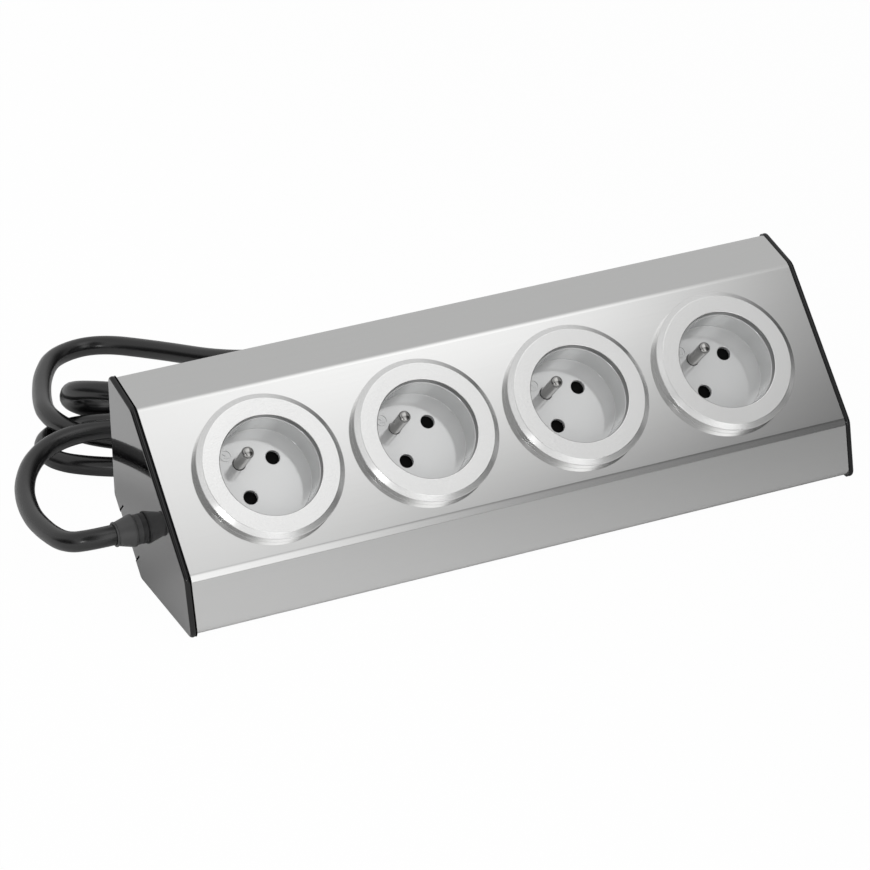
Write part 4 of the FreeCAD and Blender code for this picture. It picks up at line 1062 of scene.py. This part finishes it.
@dataclass
class EarthMarks:
    """The raised earth symbol on the floor of every recess, from one symbol."""

    sockets: Sequence[Socket]
    offset: float = 16.0
    radius: float = 2.1
    line: float = 0.17
    # Where the stem begins and stops, and the half length and level of each bar
    stem: Spot = (-0.1, 1.5)
    bars: tuple[Spot, ...] = ((1.2, -0.1), (0.8, -0.7), (0.4, -1.3))
    # Foot of the bars, and tops of the circle, the stem and the bars, in half line widths
    bar_foot: float = -0.98
    tops: Corner = (1.6, 1.5, 1.4)

    def symbol(self) -> bpy.types.Object:
        """Make one symbol: a circle, a stem and three bars that get shorter.

        Returns:
            The symbol, whose parts differ a little in height so that no faces coincide.
        """
        line = self.line
        circle_top, stem_top, bar_top = (top * line for top in self.tops)
        near, far = self.radius - line, self.radius + line
        circle = lathe("symbol", [(near, -line), (near, circle_top), (far, circle_top),
                                  (far, -line)], Matrix(), steps=64)
        low, high = self.stem
        strokes = [bar("stem", (-line, low, -line), (line, high, stem_top), Matrix())]
        for k, (half, level) in enumerate(self.bars):
            strokes.append(bar(f"stroke_{k}", (-half, level - line, self.bar_foot * line),
                               (half, level + line, bar_top), Matrix()))
        return carved(circle, strokes, Boolean.ADD)

    def build(self) -> None:
        """Set the symbol in every recess."""
        symbol = self.symbol()
        points = []
        for socket in self.sockets:
            turn = math.radians(socket.turn)
            spot = Vector((socket.along - self.offset * math.sin(turn),
                           self.offset * math.cos(turn), socket.floor_level)) * MM
            points.append((tuple(spot), (0.0, 0.0, turn)))
        marks = grown("earth_marks", repeat_tree(), {
            "Part": symbol, "Finish": CUP_GLOSS.material()}, FACE, points)
        bpy.data.objects.remove(symbol)
        settled(marks, CUP_GLOSS)


# Lead
FRONT_LOOP = [
    (-152.6, 12.5, 22.5), (-162.2, 12.5, 22.5), (-170, 18, 20.5), (-172.5, 33, 18.5),
    (-172.5, 52, 17), (-167, 75, 17), (-155, 93, 19), (-138, 99, 21.5), (-116, 94, 21.7),
    (-86, 80, 19.4), (-54, 64, 16.3),
]
INNER_LOOP = [
    (-55, 130.5, 9.2), (-88, 139, 4.8), (-111, 145, 4.6), (-122, 143, 12), (-125, 134, 20.5),
    (-127, 122, 28), (-117, 108, 31.7), (-90, 90, 30.5), (-54, 66, 25.5),
]
OUTER_LOOP = [
    (-38, 126.5, 20.2), (-54, 145, 14.6), (-71, 173, 10.5), (-91, 194, 9), (-111, 191, 9),
    (-122, 175, 9.7), (-130, 155, 10.6), (-135.5, 134, 12.8), (-130, 113, 13),
    (-110, 96, 12.4), (-82, 79, 9.8), (-50, 62.5, 7.6),
]
GROUND_LOOP = [
    (-48, 117.5, 4.2), (-75, 121, 4.2), (-102, 129, 4.2), (-125, 138, 4.2),
    (-140.5, 129, 4.2), (-142, 112, 4.2), (-128, 99, 4.2), (-105, 87, 4.2), (-79, 68, 4.2),
    (-50, 53, 4.2),
]
TAIL = [(-22, 48, 4.2), (0, 49, 5.5), (18, 53, 9.5), (33, 59, 15), (46, 62, 18.5),
        (58, 62, 18.5)]


@dataclass
class MainsLead:
    """Mains cable in loose loops, from the gland on the left cap to its plug."""

    radius: float = 4.0
    length: float = 1485.0
    bend_centre: Spot = (-22.0, 92.0)
    bend_radius: float = 33.0
    bend_points: int = 5
    bend_levels: Corner = (13.0, 21.7, 4.2)
    exit: Corner = FRONT_LOOP[0]
    gland_start: float = -142.5
    gland_length: float = 10.1
    # How much wider than the cable the gland is at its foot and at its mouth
    gland_play: Spot = (0.1, 0.05)
    # Radius of each step of the gland, then how far along the gland it ends or spans
    gland_stub: Spot = (5.2, -7.2)
    gland_base: Spot = (5.9, 2.05)
    gland_ring: Corner = (6.4, 2.4, 3.2)
    # Radius of the nose and of the lip round the mouth, then how far before the tip they are
    gland_nose: Spot = (4.66, 0.9)
    gland_lip: Spot = (4.9, 0.6)

    def half_circle(self, level: float) -> list[Corner]:
        """A half circle at the right of the bundle, walked away from the strip.

        Args:
            level: Its height over the table.

        Returns:
            Its control points.
        """
        step = math.pi / self.bend_points
        reach = self.bend_radius / math.cos(step / 2)
        points = []
        for k in range(self.bend_points):
            turn = step * (k + 0.5)
            points.append((self.bend_centre[0] + reach * math.sin(turn),
                           self.bend_centre[1] - reach * math.cos(turn), level))
        return points

    def route(self) -> list[Corner]:
        """All the control points of the lead, in millimetres."""
        first, second, third = (self.half_circle(level) for level in self.bend_levels)
        return FRONT_LOOP + first + INNER_LOOP + second + OUTER_LOOP + third + GROUND_LOOP + TAIL

    def cable(self) -> bpy.types.Object:
        """The cable itself, one smooth curve.

        Returns:
            The curve.
        """
        data = bpy.data.curves.new("mains_cable", "CURVE")
        data.dimensions = "3D"
        data.resolution_u = 12
        data.bevel_depth = self.radius * MM
        data.bevel_resolution = 7
        data.use_fill_caps = True
        spline = data.splines.new("NURBS")
        points = self.route()
        spline.points.add(len(points) - 1)
        for point, (x, y, z) in zip(spline.points, points):
            point.co = (x * MM, y * MM, z * MM, 1.0)
        spline.order_u = 3
        spline.use_endpoint_u = True
        cable = link(bpy.data.objects.new("mains_cable", data))
        return settled(cable, SHEATH, "cable", "cable_hank", "cable_tail")

    def gland(self) -> bpy.types.Object:
        """The gland on the left cap: base, ring, and a nose that tapers to the cable.

        Returns:
            The gland.
        """
        place = Matrix.Translation(Vector((self.gland_start, self.exit[1], self.exit[2])) * MM)
        place = place @ Matrix.Rotation(math.radians(-90), 4, "Y")
        tip = self.gland_length
        stub, stub_end = self.gland_stub
        base, base_top = self.gland_base
        ring, ring_low, ring_high = self.gland_ring
        nose, nose_drop = self.gland_nose
        lip, lip_drop = self.gland_lip
        play, mouth_play = self.gland_play
        outline = fillet([
            (self.radius + play, stub_end, 0.0),
            (stub, stub_end, 0.0),
            (stub, 0.0, 0.0),
            (base, 0.0, 0.0),
            (base, base_top, 0.2),
            (ring, ring_low, 0.3),
            (ring, ring_high, 0.4),
            (nose, tip - nose_drop, 0.25),
            (lip, tip - lip_drop, 0.12),
            (lip, tip, 0.2),
            (self.radius + mouth_play, tip, 0.15),
        ], steps=6)
        gland = lathe("gland_moulding", outline, place, steps=96)
        return settled(softened(gland, 0.0, angle=40), GLAND_SATIN, "cable_gland")

    def build(self, with_pieces: Sequence[bpy.types.Object]) -> None:
        """Build the lead.

        Args:
            with_pieces: The pieces of the plug on its far end, which are not used.
        """
        gland = self.gland()
        cable = self.cable()


@dataclass
class Plug:
    """Straight earthed plug with moulded strain relief, grip rings and two round pins."""

    start: Corner = (58.0, 62.0, 18.5)
    edge: float = 0.5
    ring_count: int = 6
    ring_start: float = 3.2
    ring_pitch: float = 3.6
    ring_radii: Spot = (5.35, 7.35)
    ring_thickness: float = 0.7

    @property
    def place(self) -> Matrix:
        """The frame of the plug: Z from the strain relief to the pins."""
        quarter = math.radians(90)
        return shift(*self.start) @ Matrix.Rotation(quarter, 4, "Y") @ Matrix.Rotation(
            quarter, 4, "Z")

    def build(self) -> list[bpy.types.Object]:
        """Build the plug.

        Returns:
            Its pieces.
        """
        body = refined("plug_body", "plug_moulding", self.edge, angle=32)
        settled(body, PLUG_SATIN, "plug_body")
        first, last = self.ring_radii
        rings = grown("plug_relief_rings", ring_tree(), {
            "Count": self.ring_count, "Pitch": self.ring_pitch * MM, "First Radius": first * MM,
            "Last Radius": last * MM, "Thickness": self.ring_thickness * MM,
            "Finish": PLUG_SATIN.material(),
        }, self.place @ shift(0, 0, self.ring_start))
        settled(rings, PLUG_SATIN)
        nodes = frame["nodes"]
        return [body, rings, nodes["plug_pins"], nodes["plug_earth_contacts"]]


# Studio
@dataclass
class Studio:
    """Pale floor, soft light and the camera.

    The softbox, the dark field and the rest of the dome are changes of level with the way
    that a direction points: along the strip, to the wall behind, or out of the socket face.
    """

    centre: Corner = (-619.026, -1296.978, 794.516)
    right: Corner = (0.9054193, -0.4242660, -0.0146367)
    down: Corner = (-0.2099296, -0.4175073, -0.8840912)
    forward: Corner = (0.3689789, 0.8035459, -0.4670852)
    lens: float = 172.633
    sensor: float = 36.0
    clip: Spot = (0.05, 50.0)
    floor_reach: float = 4.0
    floor_level: float = -0.0002
    # Colour of the floor's paper along the strip, paler at the left: painted shade for the light
    # falling off to the right, seen only in reflections.
    floor_shade: Change = Change(-0.14, 0.26, 0.92, 0.45)
    floor_white: float = 0.98
    floor_touch: float = 0.001
    sky: Change = Change(0.2, 1.0, 0.5, 1.5)
    softbox: tuple[Change, ...] = (Change(-0.2, 0.25, 0.9, 1.5), Change(0.29, 0.36, 1.0, 1.17),
                                   Change(0.39, 0.478, 1.0, 0.27))
    slant: float = 0.2
    low_share: Change = Change(0.3, 0.4, 0.4, 0.85)
    low_edge: Change = Change(-0.575, -0.515, 1.0, 0.0)
    lift_share: Change = Change(0.3, 0.38, 0.8, 0.6)
    lift_edge: Change = Change(-0.82, -0.6, 1.0, 0.0)
    back: Change = Change(0.45, 0.95, 0.76, 0.06)
    behind: Change = Change(-0.35, 0.15, 0.0, 1.0)
    dark_side: Change = Change(-0.12, 0.12, 1.0, 0.0)
    dark_rise: Change = Change(0.83, 0.885, 0.0, 0.75)
    left_end: Change = Change(-0.95, -0.72, 0.08, 1.0)
    key_place: Corner = (-1.13, -1.4, 0.62)
    key_aim: Corner = (0.0, 0.0, 0.03)
    key_size: float = 0.16
    key_power: float = 1.5

    def camera(self) -> None:
        """The camera at the photograph's viewing angle."""
        data = bpy.data.cameras.new("view")
        data.sensor_width = self.sensor
        data.lens = self.lens
        data.clip_start, data.clip_end = self.clip
        camera = link(bpy.data.objects.new("view", data))
        axes = Matrix((self.right, [-value for value in self.down],
                       [-value for value in self.forward])).transposed()
        camera.matrix_world = shift(*self.centre) @ axes.to_4x4()
        bpy.context.scene.camera = camera

    def floor(self) -> None:
        """A wide white floor that keeps a faint shadow and is clear from below."""
        mesh = bpy.data.meshes.new("floor")
        reach = self.floor_reach
        corners = [(-reach, -reach), (reach, -reach), (reach, reach), (-reach, reach)]
        mesh.from_pydata([(*corner, self.floor_level) for corner in corners], [], [(0, 1, 2, 3)])
        material = bpy.data.materials.new("studio_floor")
        material.use_nodes = True
        nodes = Nodes(material.node_tree)
        place = nodes.add("ShaderNodeTexCoord").outputs["Object"]
        along = nodes.add("ShaderNodeSeparateXYZ", {0: place}).outputs["X"]
        # The paper darkens towards the right: painted shade, which the reflections show.
        paper = nodes.add("ShaderNodeBsdfPrincipled", {
            "Base Color": nodes.ramp(along, self.floor_shade), "Roughness": 0.9,
            "Specular IOR Level": 0.2}).outputs[0]
        ray = nodes.add("ShaderNodeLightPath").outputs
        white = nodes.fade(nodes.product(ray["Is Camera Ray"], self.floor_white), paper,
                           nodes.add("ShaderNodeEmission").outputs[0])
        touching = nodes.math("LESS_THAN", ray["Ray Length"], self.floor_touch)
        below = nodes.add("ShaderNodeNewGeometry").outputs["Backfacing"]
        clear = nodes.add("ShaderNodeBsdfTransparent").outputs[0]
        nodes.add("ShaderNodeOutputMaterial", {
            "Surface": nodes.fade(nodes.math("MAXIMUM", below, touching), white, clear)})
        mesh.materials.append(material)
        link(bpy.data.objects.new("floor", mesh))

    def world(self) -> None:
        """Even light for the colours, and a softbox with a soft edge for the reflections."""
        world = bpy.data.worlds.new("studio")
        bpy.context.scene.world = world
        world.use_nodes = True
        nodes = Nodes(world.node_tree)
        place = nodes.add("ShaderNodeTexCoord").outputs["Generated"]
        way = nodes.add("ShaderNodeSeparateXYZ", {0: place}).outputs
        rise = nodes.product(nodes.math("SUBTRACT", way["Z"], way["Y"]), math.sqrt(0.5))
        ray = nodes.add("ShaderNodeLightPath").outputs
        seen = nodes.math("MAXIMUM", ray["Is Camera Ray"], ray["Is Transmission Ray"])
        level = nodes.blend(ray["Is Glossy Ray"], nodes.ramp(rise, self.sky),
                            self.dome(nodes, way["X"], way["Y"], rise))
        glow = nodes.add("ShaderNodeBackground", {"Strength": nodes.blend(seen, level, 1.0)})
        nodes.add("ShaderNodeOutputWorld", {"Surface": glow.outputs[0]})

    def dome(self, nodes: Nodes, x: bpy.types.NodeSocket, y: bpy.types.NodeSocket,
             rise: bpy.types.NodeSocket) -> bpy.types.NodeSocket:
        """How bright the studio looks in each direction.

        Args:
            nodes: The tree that gets the nodes.
            x: How far a direction points along the strip.
            y: How far it points to the wall behind.
            rise: How far it points out of the socket face.

        Returns:
            The level: a softbox in front that ends towards the right, and a dark field
            round the camera.
        """
        slope = nodes.math("SUBTRACT", y, nodes.product(x, self.slant))
        low = nodes.product(nodes.ramp(x, self.low_share), nodes.ramp(slope, self.low_edge))
        lift = nodes.product(nodes.ramp(x, self.lift_share), nodes.ramp(slope, self.lift_edge))
        front = nodes.product(*(nodes.ramp(x, change) for change in self.softbox),
                              nodes.rest(low), nodes.math("ADD", 1.0, lift))
        level = nodes.blend(nodes.ramp(y, self.behind), front, nodes.ramp(x, self.back))
        dark = nodes.product(nodes.ramp(x, self.dark_side), nodes.ramp(rise, self.dark_rise))
        return nodes.product(level, nodes.rest(dark), nodes.ramp(x, self.left_end))

    def key(self) -> None:
        """A small square lamp at the left front, for the glints."""
        data = bpy.data.lights.new("key", "AREA")
        data.shape = "SQUARE"
        data.size = self.key_size
        data.energy = self.key_power
        lamp = link(bpy.data.objects.new("key", data))
        lamp.location = self.key_place
        aim = Vector(self.key_aim) - Vector(self.key_place)
        lamp.rotation_euler = aim.to_track_quat("-Z", "Y").to_euler()

    def build(self) -> None:
        """Set up the studio."""
        bpy.context.scene.view_settings.view_transform = "Standard"
        self.camera()
        self.floor()
        self.world()
        self.key()


KEPT: dict[Finish, list[str]] = {
    ZINC: ["retaining_clip", "earth_stud", "earth_nut", "cord_clamp_screws"],
    SHUTTER_DARK: ["shutter"],
    INSULATOR: ["socket_base", "rear_cover", "cord_clamp_base", "cord_clamp_strap"],
    BRASS: ["contact_clips"],
    NICKEL: ["plug_pins", "plug_earth_contacts"],
    LIVE_BROWN: ["live_wires"],
    NEUTRAL_BLUE: ["neutral_wires"],
    EARTH_GREEN: ["earth_wires"],
    GLAND_SATIN: ["gland_nut"],
    SHEATH: ["cable_entry"],
}


def dress_kept_nodes() -> None:
    """Give their finishes to the CAD nodes that keep their CAD shape."""
    for finish, stems in KEPT.items():
        for name, obj in frame["nodes"].items():
            stem = name.rstrip("0123456789").rstrip("_")
            if name in stems or stem in stems:
                for slot in obj.material_slots:
                    slot.material = finish.material()
                if not obj.material_slots:
                    obj.data.materials.append(finish.material())


def main() -> None:
    """Build every piece in order."""
    logging.basicConfig(level=logging.INFO, format="%(message)s")
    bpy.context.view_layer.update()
    dress_kept_nodes()
    Studio().build()
    MainsLead().build(Plug().build())
    housing = Housing()
    housing.build()
    EndCaps().build()
    sockets = [Socket(number, along) for number, along in enumerate(housing.sockets, start=1)]
    for socket in sockets:
        socket.build()
    EarthMarks(sockets).build()


if __name__ == "__main__":
    main()
